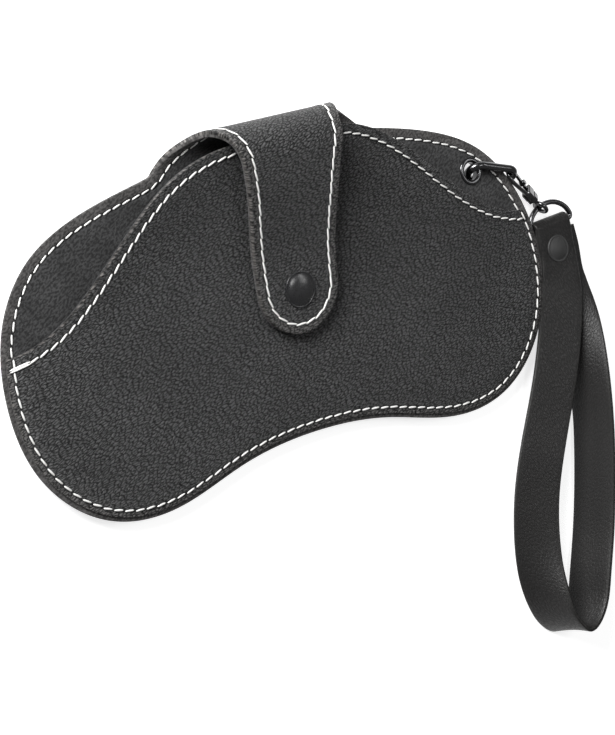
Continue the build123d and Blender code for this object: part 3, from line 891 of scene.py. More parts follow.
@dataclass
class Sheet:
    """One layer cut to an outline and laid on a surface, with rounded edges and a sewn furrow.

    The steps are the distances from the edge at which the shown face has rings of points.
    """

    outline: Outline
    surface: Surface
    shown: float
    hidden: float
    seams: tuple[tuple[Edge, float], ...]
    rounding: float = 0.3
    furrow: float = 0.26
    corners: Array | None = None
    spacing: float = 1.3
    flip: float = 1.0

    steps = (0, 0.03, 0.12, 0.3, 0.5, 0.8, 1.1, 1.5, 2.0, 2.4, 2.7, 3.0, 3.3, 3.6, 4.0, 4.6, 5.4)
    corner_reach = 0.45
    furrow_width = 0.6
    swell = 0.4
    swell_at = 1.9
    swell_width = 1.2
    wall_fade = 0.3

    def rings(self, steps: tuple) -> Array:
        """Rings of the pattern set in from the edge by each step, closer together near corners."""
        limit = self.outline.from_corner(self.outline.corner if self.corners is None else self.corners)
        share = np.minimum(1, (0.02 + self.corner_reach * limit) / self.steps[-1])
        inward = self.outline.inward()
        return np.stack([self.outline.points + inward * (d * share)[:, None] for d in steps])

    def seam(self, spots: Array) -> Array:
        """Distance of spots from the nearest line of stitches."""
        gaps = [np.abs(self.outline.distance(spots, kind) - at) for kind, at in self.seams]
        return np.min(gaps, axis=0)

    def depth(self, spots: Array) -> Array:
        """Depth of the shown face: its edge rounded by a quarter circle, its furrow a bell across."""
        edge = self.outline.distance(spots, Edge.SEWN, Edge.MOUTH)
        seam = self.seam(spots)
        r = self.rounding
        fall = r - np.sqrt(np.maximum(0, r * r - np.maximum(0, r - edge) ** 2))
        dip = self.furrow * np.exp(-((seam / self.furrow_width) ** 2))
        swell = self.swell * self.furrow * np.exp(-(((seam - self.swell_at) / self.swell_width) ** 2))
        return self.shown + np.sign(self.hidden - self.shown) * (fall + dip - swell)

    def build(self, name: str) -> bpy.types.Object:
        """Makes the closed shell: shown face, wall and hidden face.

        Args:
            name: Name of the piece.

        Returns:
            The object, with the marks pattern, margin, seam and wall.
        """
        count = len(self.outline.points)
        top = self.rings(self.steps)
        low = self.rings((0, self.steps[-1]))
        fill, inner = filled(top[-1], self.spacing)
        n_top = len(top) * count
        low_start = n_top + len(fill)
        spots = np.vstack([top.reshape(-1, 2), fill, low.reshape(-1, 2), fill])
        depth = np.r_[self.depth(spots[:low_start]), np.full(len(spots) - low_start, self.hidden)]
        points = self.surface(spots[:, 0], spots[:, 1], depth)
        j, k = np.arange(count), (np.arange(count) + 1) % count
        rings = grid_faces(len(top), count)
        strip = grid_faces(2, count)[:, ::-1] + low_start
        wall = np.column_stack([k, j, low_start + j, low_start + k])
        upper = inner + n_top - count
        lower = inner[:, ::-1] + low_start + count
        quads, triangles = outward(points, np.vstack([rings, strip, wall]), np.vstack([upper, lower]))
        rim = self.outline.distance(spots, Edge.SEWN, Edge.MOUTH)
        marks = {
            "pattern": with_column(spots * [1, self.flip]),
            "margin": self.outline.distance(spots, Edge.SEWN) - dict(self.seams)[Edge.SEWN],
            "seam": self.seam(spots) if self.furrow else np.full(len(spots), FAR),
            "wall": np.maximum(np.arange(len(spots)) >= low_start, 1 - rim / self.wall_fade),
        }
        log.info("%s: %d corners", name, len(points))
        return make_piece(name, points, quads, triangles, marks, sharp=50)


# Stitches


@dataclass
class Stitches:
    """A row of stitches: small round-ended loaves laid end to end along a line of the pattern."""

    pitch: float = 3.4
    length: float = 2.8
    width: float = 0.62
    height: float = 0.42
    slant: float = 6.0
    raised: float = 0.2
    wander: float = 0.05
    twist: Pair = (1.6, 1.4)

    sides = 6
    spin = 0.3
    stations = (-0.47, -0.36, 0.0, 0.36, 0.47)
    girths = (0.45, 0.85, 1.0, 0.85, 0.45)

    def loaf(self) -> Shell:
        """One stitch of unit size: circles that swell and close along its length."""
        ring = circle(full_turn(self.sides) + self.spin) / 2
        x = np.repeat(self.stations, self.sides)
        yz = (np.array(self.girths)[:, None, None] * ring[None]).reshape(-1, 2)
        points, quads, triangles = capped(np.column_stack([x, yz]), len(self.stations), self.sides)
        points[-2, 0], points[-1, 0] = -0.5, 0.5
        return points, quads, triangles

    def build(self, name: str, line: Array, surface: Surface, depth: float, out: float) -> bpy.types.Object:
        """Lays the stitches from the line's start to its end, evenly.

        Args:
            name: Name of the piece.
            line: Line of the pattern.
            surface: Surface it lies on.
            depth: Depth of the face that carries it.
            out: +1 where a smaller depth is outside, -1 where a larger one is.

        Returns:
            The object.
        """
        total = lengths(line)[-1]
        count = max(1, int(round(total / self.pitch)))
        pitch = total / count
        long = self.length * pitch / self.pitch
        first = pitch * np.arange(count) + (pitch - long) / 2
        ends = [along(line, first + k * long) for k in (0, 0.5, 1)]
        a, m, b = (surface(e[:, 0], e[:, 1], np.full(count, depth)) for e in ends)
        above = surface(ends[1][:, 0], ends[1][:, 1], np.full(count, depth - out))
        run = unit(b - a)
        normal = unit(above - m)
        normal = unit(normal - run * (normal * run).sum(-1, keepdims=True))
        side = np.cross(normal, run)
        tilt = math.radians(self.slant)
        run, side = run * math.cos(tilt) + side * math.sin(tilt), side * math.cos(tilt) - run * math.sin(tilt)
        shape, quads, triangles = self.loaf()
        local = shape * [long, self.width, self.height]
        sway = self.wander * np.sin(np.arange(count) * 2.4)
        middle = m + normal * (self.height * self.raised) + side * sway[:, None]
        points = (
            middle[:, None]
            + local[None, :, :1] * run[:, None]
            + local[None, :, 1:2] * side[:, None]
            + local[None, :, 2:] * normal[:, None]
        ).reshape(-1, 3)
        shift = (np.arange(count) * len(shape))[:, None, None]
        all_quads = (quads[None] + shift).reshape(-1, 4)
        all_triangles = (triangles[None] + shift).reshape(-1, 3)
        along_it = np.tile(local, (count, 1))
        twist = np.column_stack([along_it[:, :2] @ self.twist, along_it[:, 1:]])
        piece = make_piece(name, points, all_quads, all_triangles, {"twist": twist}, sharp=80)
        return dress(piece, Finish.THREAD)


# Sub-assemblies


@dataclass
class Panels:
    """Back panel with the roll of the tab, front panel, their linings and stitches.

    The front is cut narrower than the back all round the rim, so that the back's lining shows
    past it, and the stitches of the rim run just inside the front's edge.
    """

    shape: CaseShape
    spacing: float = 0.8
    margin: float = 3.0
    mouth_margin: float = 2.7
    narrower: float = 1.2
    thin_share: float = 0.38
    thin_to: float = 0.8
    thin_reach: float = 6.0
    thick_below: float = 9.0
    thick_reach: float = 8.0
    hole_radius: float = 3.05
    corner_gap: float = 1.3
    rim_overlap: float = 2.2
    tack_length: float = 6.2
    tack_shift: Pair = (2.1, 0.45)
    tack_apart: float = 0.54
    tack_raised: float = 0.1
    stop_before: float = 0.3
    stitch_sunk: float = 0.1
    lining_sunk: float = 0.08
    lining_overlap: float = 0.8
    lining_from: float = 4.0

    def back_outline(self) -> Outline:
        """Edge of the back panel and the roll up to mid roll, from the foot anticlockwise."""
        right, left = self.shape.rim_curve()
        flare = self.shape.roll_edge(self.shape.root_y, self.shape.mid_arch)
        rim = np.vstack([right[:-1], flare])
        down = np.vstack([mirrored(flare)[:-1], left])
        cut = np.linspace(flare[-1], mirrored(flare)[0], 60)
        return Outline.join([(rim, Edge.SEWN), (cut, Edge.CUT), (down, Edge.SEWN)], self.spacing)

    def front_outline(self) -> Outline:
        """Edge of the front panel: the rim set in and cut off at the mouth curve, then the mouth."""
        right, left = self.shape.rim_curve()
        rim = np.vstack([left[:-1], right])
        run = unit(np.gradient(rim, axis=0))
        rim = rim + np.column_stack([-run[:, 1], run[:, 0]]) * self.narrower
        foot = len(left) - 1
        above = np.flatnonzero(rim[:, 1] > self.shape.mouth(rim[:, 0]))
        rim = rim[above[above < foot].max() + 1 : above[above > foot].min()]
        x = np.linspace(rim[-1, 0], rim[0, 0], 900)
        mouth = np.column_stack([x, self.shape.mouth(x)])
        return Outline.join([(rim, Edge.SEWN), (mouth, Edge.MOUTH)], self.spacing)

    def pierce(self, piece: bpy.types.Object) -> None:
        """Cuts the eyelet's hole through a layer."""
        ring = circle(full_turn(48)) * self.hole_radius + self.shape.eyelet
        rows = np.vstack([with_column(ring, z) for z in (0.0, 9.0)])
        cutter = make_piece("eyelet_cutter", *capped(rows, 2, len(ring)))
        cut = piece.modifiers.new("eyelet", "BOOLEAN")
        cut.operation, cut.object, cut.solver = "DIFFERENCE", cutter, "EXACT"
        graph = bpy.context.evaluated_depsgraph_get()
        made = bpy.data.meshes.new_from_object(piece.evaluated_get(graph), depsgraph=graph)
        piece.modifiers.clear()
        piece.data = made
        bpy.data.objects.remove(cutter, do_unlink=True)

    def pressed(self, surface: Surface, seam: float, rim: Outline) -> Surface:
        """Surface whose layers are squeezed towards their seam near the rim.

        A layer's distance from the seam shrinks to a share of itself at the rim, and grows back
        smoothly over the next few millimetres. The roll of the tab keeps its thickness.

        Args:
            surface: Surface without the squeeze.
            seam: Depth at which the two panels meet.
            rim: Edge of the back panel.

        Returns:
            The squeezed surface.
        """

        def squeezed(x: Array, s: Array, depth: Array) -> Array:
            """The surface at squeezed depths."""
            edge = rim.distance(np.column_stack([x, s]), Edge.SEWN)
            away = soft_step((edge - self.thin_to) / self.thin_reach)
            share = self.thin_share + (1 - self.thin_share) * away
            rolled = soft_step((s - self.shape.root_y + self.thick_below) / self.thick_reach)
            share = share + (1 - share) * rolled
            return surface(x, s, seam + (depth - seam) * share)

        return squeezed

    def build(self) -> None:
        """Builds the panels and their stitches."""
        shape = self.shape
        back, front = self.back_outline(), self.front_outline()
        lower = self.pressed(shape.back, shape.sheet, back)
        upper = self.pressed(shape.front, 0.0, back)
        seams = ((Edge.SEWN, self.margin),)
        cuts = back.corner.copy()
        cuts[0] = False
        hide = Sheet(back, lower, 0.0, shape.leather, seams, corners=cuts)
        pile = Sheet(back, lower, shape.sheet, shape.leather, seams, corners=cuts, rounding=0.25)
        leathers = ("back_outer_leather", "tab_arch_leather")
        linings = ("back_lining", "tab_arch_lining")
        for layer, name, finish, slot, nodes in (
            (hide, "back_leather", Finish.CASE_LEATHER, "outer_leather", leathers),
            (pile, "back_lining_sheet", Finish.LINING, "lining_fabric", linings),
        ):
            piece = layer.build(name)
            self.pierce(piece)
            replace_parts(dress(piece, finish), *nodes)
            shape.blend_at_root(piece)
        seams = ((Edge.SEWN, self.margin - self.narrower), (Edge.MOUTH, self.mouth_margin))
        cover = Sheet(front, upper, shape.sheet, shape.lining, seams)
        under = Sheet(front, upper, 0.0, shape.lining, seams, rounding=0.1, furrow=0.0)
        for layer, name, finish, slot, node in (
            (cover, "front_leather", Finish.CASE_LEATHER, "outer_leather", "front_outer_leather"),
            (under, "front_lining_sheet", Finish.LINING, "lining_fabric", "front_lining"),
        ):
            piece = dress(layer.build(name), finish)
            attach(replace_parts(piece, node), "case")
        self.sew_front(front, upper)
        self.sew_back(back, lower)

    def sew_front(self, front: Outline, upper: Surface) -> None:
        """Lays the stitches of the rim and the mouth, and the tack over the mouth's left corner."""
        face, inset = self.shape.sheet, self.margin - self.narrower
        past_corner = front.from_corner(front.corner) > self.corner_gap
        rim = front.set_in(inset)[front.of(Edge.SEWN) & past_corner]
        rim = lengthened(rim, self.rim_overlap)
        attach(Stitches().build("rim_stitches", rim, upper, face, -1), "case")
        mouth = front.set_in(self.mouth_margin)
        clear = front.of(Edge.MOUTH) & (front.distance(mouth, Edge.SEWN) > inset)
        mouth = mouth[clear & past_corner]
        close = Stitches(length=3.15, slant=9.0)
        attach(close.build("mouth_stitches", mouth, upper, face, -1), "case")
        tack = along(mouth[::-1], np.linspace(0, self.tack_length, 8)) - self.tack_shift
        strand = Stitches(self.tack_length, self.tack_length, width=0.66, height=0.6, slant=0.0)
        for word, side in (("upper", 0.5), ("lower", -0.5)):
            line = tack + [0, side * self.tack_apart]
            piece = strand.build("corner_tack_" + word, line, upper, face + self.tack_raised, -1)
            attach(piece, "case")

    def sew_back(self, back: Outline, lower: Surface) -> None:
        """Lays the stitches of the back, and those on its lining where they show past the mouth."""
        shape, row = self.shape, Stitches()
        line = back.set_in(self.margin)
        first_cut, last_cut = np.flatnonzero(back.corner)[[1, 2]]
        for word, run in (("right", line[:first_cut]), ("left", line[last_cut:][::-1])):
            run = run[run[:, 1] < shape.mid_arch - self.stop_before]
            past_mouth = run[:, 1] > shape.mouth(run[:, 0]) - self.lining_overlap
            shown = run[past_mouth & (run[:, 1] > self.lining_from)]
            under = row.build("back_stitches_" + word, run, lower, self.stitch_sunk, 1)
            shape.blend_at_root(under)
            face = shape.sheet - self.lining_sunk
            over = row.build("lining_stitches_" + word, shown, lower, face, -1)
            shape.blend_at_root(over)


@dataclass
class Tab:
    """The tab from mid roll over the crest to its round tip, with its stitches."""

    shape: CaseShape
    margin: float = 2.8
    edge_spacing: float = 0.6
    spacing: float = 1.1
    start_after: float = 0.2
    stitch_sunk: float = 0.06

    def outline(self) -> Outline:
        """Edge of the tab, from mid roll on the right round the tip to mid roll on the left."""
        right = self.shape.tab_edge()
        run = np.vstack([right, mirrored(right)[1:]])
        cut = np.linspace(run[-1], run[0], 40)
        return Outline.join([(run, Edge.SEWN), (cut, Edge.CUT)], self.edge_spacing)

    def build(self) -> None:
        """Builds the two layers and their stitches."""
        shape, outline = self.shape, self.outline()
        cut = {"seams": ((Edge.SEWN, self.margin),), "spacing": self.spacing}
        outer = Sheet(outline, shape.tab, 0.0, shape.leather, furrow=0.22, flip=-1.0, **cut)
        inner = Sheet(outline, shape.tab, shape.sheet, shape.leather, rounding=0.2, furrow=0.15, **cut)
        for layer, name, finish, slot, node in (
            (outer, "tab_leather", Finish.CASE_LEATHER, "outer_leather", "tab_front_leather"),
            (inner, "tab_lining", Finish.LINING, "lining_fabric", "tab_front_lining"),
        ):
            piece = dress(layer.build(name), finish)
            shape.blend_at_crest(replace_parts(piece, node))
        row = Stitches(length=3.75, width=0.66, slant=7.0)
        line = outline.set_in(self.margin)[outline.of(Edge.SEWN)]
        line = line[line[:, 1] > shape.mid_arch + self.start_after]
        for name, depth, out in (
            ("tab_stitches", self.stitch_sunk, 1),
            ("tab_lining_stitches", shape.sheet - self.stitch_sunk, -1),
        ):
            shape.blend_at_crest(row.build(name, line, shape.tab, depth, out))


@dataclass(frozen=True)
class Bar:
    """Straight bar of the ring, which the strap hangs on: its middle and its heading."""

    middle: Triple = (103.9, 1.9, 2.6)
    heading: float = 4.0

    def ways(self) -> tuple[Array, Array]:
        """Unit directions along the bar and square to it, towards the ring's bow."""
        return heading_of(self.heading)

    def placed(self, points: Array) -> Array:
        """Points moved from the bar's frame to the case's."""
        return placed(points, np.array(self.middle), self.ways()[0], (0, 0, 1))


@dataclass
class Strap:
    """Wrist strap: one strip from its tail, round the bar of the ring and round its long loop.

    The strip has slid to the left end of its bar, and its returning end lies askew behind it.
    The path's rows hold a point of the loop, its X counted from the middle of the bar, and the
    lean of the strip's width in degrees.
    """

    bar: Bar
    width: float = 14.0
    thick: float = 1.5
    edge_radius: float = 0.45
    fold: float = 1.7
    tail: float = -12.5
    rivet_y: float = -7.4
    slid: float = -1.0
    rivet_slid: float = -1.7
    askew: tuple = ((1.8, -7.4, 0.0), (1.7, -2.4, 0.0))
    path: tuple = (
        (-4.1, -19.5, 5.8, 12.0), (-8.5, -32.2, 6.3, 17.6), (-13.4, -44.0, 6.15, 17.9),
        (-18.6, -54.9, 5.75, 18.7), (-23.3, -64.5, 5.5, 21.7), (-27.7, -75.8, 5.0, 25.0),
        (-31.1, -89.6, 4.9, 32.0), (-32.5, -100.0, 5.6, 45.0), (-32.1, -108.5, 6.5, 60.0),
        (-29.9, -115.2, 7.0, 70.0), (-25.4, -118.8, 7.3, 72.0), (-20.4, -115.8, 7.5, 71.0),
        (-15.4, -106.0, 7.6, 70.0), (-10.5, -93.0, 7.4, 70.0), (-6.5, -79.3, 7.5, 71.0),
        (-3.6, -67.0, 7.6, 72.0), (-1.5, -54.9, 7.6, 72.0), (-0.2, -41.0, 6.9, 58.0),
        (1.0, -26.5, 4.9, 32.0), (1.8, -14.0, 2.8, 6.0),
    )
    lean_share: float = 0.25
    level_below: float = 10.0
    edge_band: float = 0.8
    wall_share: float = 0.9
    rivet_rim: tuple = ((4.2, -0.3), (4.2, 0.2), (4.05, 0.4), (3.8, 0.44), (3.6, 0.34), (3.45, 0.36))
    dome_radius: float = 3.4
    dome_base: float = 0.38
    dome_height: float = 0.74

    def folded(self) -> Array:
        """Middle of the folded end: the tail under the bar, the fold and the run up to the rivet."""
        bend = np.linspace(-np.pi / 2, np.pi / 2, 40)
        fold = np.column_stack([np.full(40, self.slid), self.fold * np.cos(bend), self.fold * np.sin(bend)])
        below = np.linspace(self.tail, -0.1, 40)
        tail = np.column_stack([np.full(40, self.slid), below, np.full(40, -self.fold)])
        above = np.linspace(-0.1, self.rivet_y, 20)
        x = self.slid + (self.rivet_slid - self.slid) * soft_step(above / self.rivet_y)
        head = np.column_stack([x, above, np.full(20, self.fold)])
        return self.bar.placed(np.vstack([tail, fold, head]))

    def line(self) -> Array:
        """Middle of the strip with the lean of its width in the fourth column."""
        start = with_column(self.folded())
        under = with_column(self.bar.placed(np.array(self.askew)))
        stops = np.array(self.path) + [self.bar.middle[0], 0, 0, 0]
        stops = np.vstack([start[-1], stops, under])
        up = np.r_[self.bar.ways()[1], 0]
        scale = [1, 1, 1, self.lean_share]
        loop = spline(stops * scale, 520, -up, up) / scale
        return np.vstack([start[:-1], loop])

    def section(self) -> tuple[Array, Array]:
        """Cross-section of the strip: a long box with rounded edges, and which face each point is on."""
        r, half, thick = self.edge_radius, self.width / 2, self.thick / 2
        right = circle(np.linspace(0, np.pi / 2, 5)) * r + [half - r, thick - r]
        flat = np.column_stack([np.linspace(half - r, r - half, 9)[1:-1], np.full(7, thick)])
        top = np.vstack([right, flat, mirrored(right)])
        around = np.vstack([top, top[::-1] * [1, -1]])
        return around, np.clip(around[:, 1] / (thick - r), -1, 1)

    def across(self, run: Array, lean: Array) -> Array:
        """Direction of the strip's width: along the bar where it is level, then leaning over."""
        wide = np.column_stack([np.cos(lean), np.zeros(len(lean)), np.sin(lean)])
        share = soft_step(lean / math.radians(self.level_below))[:, None]
        wide = wide * share + self.bar.ways()[0] * (1 - share)
        return unit(wide - run * (wide * run).sum(-1, keepdims=True))

    def build(self) -> None:
        """Builds the strip: its cross-section carried along its middle, square to it."""
        line = self.line()
        middle = line[:, :3]
        run = unit(np.gradient(middle, axis=0))
        wide = self.across(run, np.radians(line[:, 3]))
        normal = np.cross(run, wide)
        around, face = self.section()
        points = middle[:, None] + around[None, :, :1] * wide[:, None] + around[None, :, 1:] * normal[:, None]
        rows, columns = len(middle), len(around)
        every, quads, triangles = capped(points.reshape(-1, 3), rows, columns)
        place = lengths(middle)
        across = np.r_[np.tile(around[:, 0], rows), 0, 0]
        marks = {
            "pattern": np.column_stack([across, np.r_[np.repeat(place, columns), 0, place[-1]], 0 * across]),
            "margin": self.width / 2 - np.abs(across) - self.edge_band,
            "seam": np.full(len(across), FAR),
            "wall": np.r_[np.tile(1 - np.abs(face), rows), 1, 1] * self.wall_share,
        }
        piece = make_piece("wrist_strip", every, quads, triangles, marks, sharp=60)
        dress(piece, Finish.STRAP_LEATHER)
        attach(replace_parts(piece, "wrist_strap"), "strap")
        log.info("strap: %.0f mm of strip", place[-1])

    def rivet(self) -> None:
        """Builds the rivet's head: a low dome inside a rolled rim."""
        turn = np.linspace(0.95, 0.03, 12)
        dome = np.column_stack([self.dome_radius * turn, self.dome_base + self.dome_height * (1 - turn**2)])
        points, quads, triangles = revolved(np.vstack([self.rivet_rim, dome]), 64)
        seat = np.array([[self.rivet_slid, self.rivet_y, self.fold + self.thick / 2]])
        points = placed(points, self.bar.placed(seat)[0], (1, 0, 0), (0, 0, 1))
        piece = make_piece("strap_rivet_head", points, quads, triangles)
        dress(piece, Finish.RIVET_METAL)
        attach(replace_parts(piece, "strap_rivet_cap"), "strap")


# Hardware


@dataclass
class Hardware:
    """Snap cap, eyelet, link, swivel and ring as smooth turned and bent pieces.

    Profiles hold radius and height. The cap's rim is counted from the cap's own radius.
    """

    shape: CaseShape
    bar: Bar
    cap_radius: float = 5.3
    cap_rim: tuple = ((0, -0.5), (0, 0.12), (-0.1, 0.3), (-0.3, 0.36), (-0.5, 0.3), (-0.62, 0.2))
    cap_inset: float = 0.68
    dome_base: float = 0.26
    dome_height: float = 1.2
    dome_share: float = 0.93
    eyelet_z: float = 4.0
    lip_middle: Pair = (3.42, 0.85)
    lip_half: Pair = (0.78, 0.5)
    barrel: tuple = ((4.2, 0.86), (3.0, 0.8), (3.0, -1.2), (2.65, -1.2))
    link_rod: float = 1.2
    link_reach: float = 16.8
    link_half_width: float = 3.3
    link_heading: float = -16.5
    link_tilt: float = 35.0
    bow: Triple = (91.4, 19.35, 3.74)
    hook_heading: float = -51.0
    hook_pitch: float = 3.2
    eye_reach: float = 14.9
    eye_radius: float = 2.0
    eye_rod: float = 0.68
    stem: tuple = (
        (0.6, 9.6), (0.6, 11.2), (1.1, 11.3), (1.2, 11.55),
        (1.1, 11.8), (0.8, 12.0), (0.75, 12.6), (1.0, 13.2),
    )
    ring_rod: float = 0.85
    ring_half: float = 8.6
    ring_height: float = 6.7
    ring_corner: float = 1.0

    rod_sides = 20
    kept = {
        Finish.BLACK_METAL: ("eyelet_washer", "clasp_hook", "gate_lever", "lever_pin"),
        Finish.SPRING_STEEL: ("lever_spring", "snap_spring"),
        Finish.CAP_METAL: ("snap_socket", "snap_stud", "snap_post"),
        Finish.RIVET_METAL: ("strap_rivet_foot",),
    }

    def rod(self, name: str, path: Array, radius: float, node: str, body: str, *more: Shell) -> None:
        """Bends a round rod into a closed shape, with any turned parts joined to it.

        Args:
            name: Name of the piece.
            path: Closed line along the rod's middle.
            radius: Radius of the rod.
            node: Node it stands for.
            body: Body it rides on.
            more: Further shells, each with its points, quads and triangles.
        """
        points = closed_tube(path, radius, self.rod_sides)
        quads, none = outward(points, grid_faces(len(path), self.rod_sides, wrap_rows=True))
        shells, quad_rows, triangle_rows = [points], [quads], [none]
        for extra, extra_quads, extra_triangles in more:
            start = sum(len(shell) for shell in shells)
            shells.append(extra)
            quad_rows.append(extra_quads + start)
            triangle_rows.append(extra_triangles + start)
        piece = make_piece(name, np.vstack(shells), np.vstack(quad_rows), np.vstack(triangle_rows))
        dress(piece, Finish.BLACK_METAL)
        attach(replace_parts(piece, node), body)

    def snap_cap(self) -> None:
        """Builds the snap's cap: a glossy dome standing in a rolled rim."""
        shape = self.shape
        lean = math.radians(shape.end_slope)
        out = np.array([0, -math.sin(lean), math.cos(lean)])
        centre = shape.snap_seat() + out * (shape.snap_gap + shape.sheet)
        rim = np.array(self.cap_rim) + [self.cap_radius, 0]
        turn = np.linspace(0.97, 0.02, 18)
        swell = np.sqrt(1 - (turn * self.dome_share) ** 2) - math.sqrt(1 - self.dome_share**2)
        radius = (self.cap_radius - self.cap_inset) * turn
        dome = np.column_stack([radius, self.dome_base + self.dome_height * swell])
        points, quads, triangles = revolved(np.vstack([rim, dome]), 96)
        piece = make_piece("snap_cap_dome", placed(points, centre, (1, 0, 0), out), quads, triangles)
        dress(piece, Finish.CAP_METAL)
        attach(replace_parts(piece, "snap_cap"), "tab_end")

    def eyelet_middle(self) -> Array:
        """Middle of the eyelet, level with the lining's face."""
        return np.array([*self.shape.eyelet, self.eyelet_z])

    def eyelet_ring(self) -> None:
        """Builds the eyelet: a barrel whose lip is rolled over the lining."""
        lip = circle(np.linspace(np.pi, 0, 12)) * self.lip_half + self.lip_middle
        profile = np.vstack([lip, self.barrel])
        sides = 72
        points = turned(profile, sides) + self.eyelet_middle()
        quads, none = outward(points, grid_faces(len(profile), sides, wrap_rows=True))
        piece = make_piece("eyelet_ring", points, quads, none)
        dress(piece, Finish.BLACK_METAL)
        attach(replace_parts(piece, "eyelet_flange"), "case")

    def link(self) -> None:
        """Builds the link: a rod bent into two straights joined by half circles."""
        out, side = heading_of(self.link_heading)
        tilt = math.radians(self.link_tilt)
        across = np.array([0, 0, math.cos(tilt)]) + side * math.sin(tilt)
        w, far = self.link_half_width, self.link_reach - self.link_half_width
        half = np.linspace(-np.pi / 2, np.pi / 2, 28)
        end = circle(half) * w + [far, 0]
        start = [w, 0] - circle(half) * w
        flat = even(np.vstack([end, start, end[:1]]), 0.5)
        path = placed(with_column(flat), self.eyelet_middle(), out, np.cross(out, across))
        self.rod("oblong_link", path, self.link_rod, "eyelet_link", "link")

    def swivel(self) -> None:
        """Builds the swivel: a turned stem with a collar, and the eye square to the ring's wire."""
        level, pitch = heading_of(self.hook_heading)[0], math.radians(self.hook_pitch)
        run = level * math.cos(pitch) - [0, 0, math.sin(pitch)]
        centre = np.array(self.bow) + run * self.eye_reach
        bar_run, bar_up = self.bar.ways()
        x = (centre - np.array(self.bar.middle)) @ bar_run
        slope = -self.ring_height * x / self.ring_half**2 / math.sqrt(1 - (x / self.ring_half) ** 2)
        wire = bar_run + bar_up * slope
        normal = unit(wire - run * (wire @ run))
        eye = with_column(circle(full_turn(56))) * self.eye_radius
        path = placed(eye, centre, run, normal)
        points, quads, triangles = revolved(np.array(self.stem), 24)
        stem = placed(points, self.bow, normal, run)
        self.rod("swivel_ring", path, self.eye_rod, "swivel_eye", "swivel", (stem, quads, triangles))

    def d_ring(self) -> None:
        """Builds the ring: half an ellipse closed by a straight bar, its corners rounded."""
        corner = self.ring_corner
        bow = circle(np.linspace(0, np.pi, 90)) * [self.ring_half, self.ring_height]
        bow = bow[bow[:, 1] > corner]
        inset = self.ring_half - corner - 0.1
        right = circle(np.linspace(-np.pi / 2, -0.15, 8)) * corner + [inset, corner]
        bar = with_column(np.linspace(-inset, inset, 30)[1:-1])
        flat = np.vstack([bar, right, bow, mirrored(right)])
        flat = even(np.vstack([flat, flat[:1]]), 0.4)
        path = self.bar.placed(with_column(flat))
        self.rod("d_ring_wire", path, self.ring_rod, "d_ring", "ring")

    def build(self) -> None:
        """Builds the smooth pieces and gives the kept nodes their finishes."""
        self.snap_cap()
        self.eyelet_ring()
        self.link()
        self.swivel()
        self.d_ring()
        for finish, names in self.kept.items():
            for name in names:
                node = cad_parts[name]
                node.data.materials.clear()
                node.data.materials.append(finish.material())
        log.info("hardware: 5 pieces made, %d nodes dressed", sum(len(names) for names in self.kept.values()))


# Studio


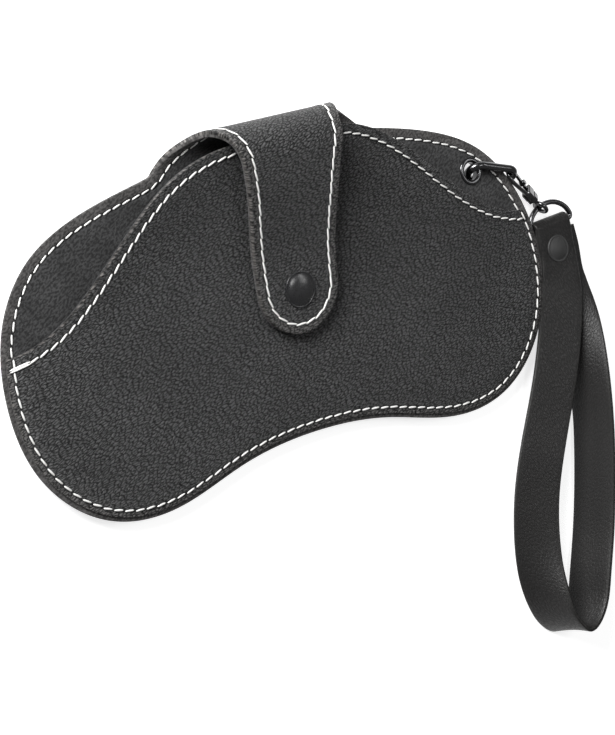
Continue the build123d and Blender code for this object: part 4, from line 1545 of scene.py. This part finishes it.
@dataclass
class Studio:
    """Pale floor, soft lamps and the camera, in metres."""

    camera_place: Triple = (-0.40795, 0.076156, 0.573713)
    camera_right: Triple = (0.779912, -0.196912, 0.594106)
    camera_back: Triple = (-0.57899, 0.133528, 0.804326)
    focal_pixels: float = 2500.0
    image_height: float = 735.0
    sensor: float = 36.0
    floor_half: float = 3.0
    floor_glow: float = 0.72
    floor_albedo: float = 0.75
    sky: float = 0.18

    def camera(self) -> None:
        """Sets the camera up as it stood for the photograph."""
        data = bpy.data.cameras.new("camera")
        data.sensor_width = self.sensor
        data.lens = self.focal_pixels / self.image_height * self.sensor
        data.clip_start, data.clip_end = 0.01, 20
        camera = bpy.data.objects.new("camera", data)
        right, back = unit(np.array(self.camera_right)), unit(np.array(self.camera_back))
        turn = Matrix(np.column_stack([right, np.cross(back, right), back]).tolist()).to_4x4()
        camera.matrix_world = Matrix.Translation(self.camera_place) @ turn
        bpy.context.collection.objects.link(camera)
        bpy.context.scene.camera = camera

    def pale(self, n: Nodes) -> bpy.types.Node:
        """White to the eye and in gloss, with what falls on it kept as a share of its shade."""
        path = n.add("LightPath")
        seen = n.math("MAXIMUM", path.outputs["Is Camera Ray"], path.outputs["Is Glossy Ray"])
        seen = n.math("MAXIMUM", seen, path.outputs["Is Transmission Ray"])
        matt = n.add("BsdfDiffuse", {"Color": (self.floor_albedo,) * 3 + (1,)})
        glow = n.add("Emission", {"Color": (1, 1, 1, 1), "Strength": n.times(seen, self.floor_glow)})
        return n.add("AddShader", {0: matt.outputs[0], 1: glow.outputs[0]})

    def floor(self) -> None:
        """Lays the floor."""
        half = self.floor_half
        mesh = bpy.data.meshes.new("floor")
        corners = [(-half, -half, 0), (half, -half, 0), (half, half, 0), (-half, half, 0)]
        mesh.from_pydata(corners, [], [(0, 1, 2, 3)])
        floor = bpy.data.objects.new("floor", mesh)
        bpy.context.collection.objects.link(floor)
        n = Nodes("pale floor")
        mesh.materials.append(n.finish(self.pale(n)))

    def lamp(self, name: str, place: Triple, size: Pair, power: float, aim: Triple = (0, 0, 0)) -> None:
        """Hangs a soft box.

        Args:
            name: Name of the lamp.
            place: Where it hangs.
            size: Its width and height.
            power: Its power in watts.
            aim: The point it faces.
        """
        data = bpy.data.lights.new(name, "AREA")
        data.shape, data.size, data.size_y, data.energy = "RECTANGLE", size[0], size[1], power
        lamp = bpy.data.objects.new(name, data)
        back = unit(np.array(place, float) - np.array(aim, float))
        side = unit(np.cross([0, 0, 1], back))
        turn = Matrix(np.column_stack([side, np.cross(back, side), back]).tolist()).to_4x4()
        lamp.matrix_world = Matrix.Translation(place) @ turn
        bpy.context.collection.objects.link(lamp)

    def light(self) -> None:
        """Sets the lamps and the world."""
        self.lamp("key", place=(-0.55, 0.62, 0.43), size=(0.5, 0.5), power=17.5)
        self.lamp("top", place=(0.14, 0.1, 0.93), size=(0.24, 0.24), power=1.1)
        self.lamp("glint", place=(0.66, 0.1, 0.8), size=(0.5, 0.15), power=0.8, aim=(0.08, 0, 0))
        world = bpy.data.worlds.new("studio")
        world.use_nodes = True
        sky = world.node_tree.nodes["Background"]
        sky.inputs["Color"].default_value = (1, 1, 1, 1)
        sky.inputs["Strength"].default_value = self.sky
        bpy.context.scene.world = world
        bpy.context.scene.view_settings.view_transform = "Standard"

    def build(self) -> None:
        """Builds the studio."""
        self.camera()
        self.floor()
        self.light()


def main() -> None:
    """Builds the case piece by piece."""
    Studio().build()
    shape, bar = CaseShape(), Bar()
    Panels(shape).build()
    Tab(shape).build()
    strap = Strap(bar)
    strap.build()
    strap.rivet()
    Hardware(shape, bar).build()


if __name__ == "__main__":
    main()
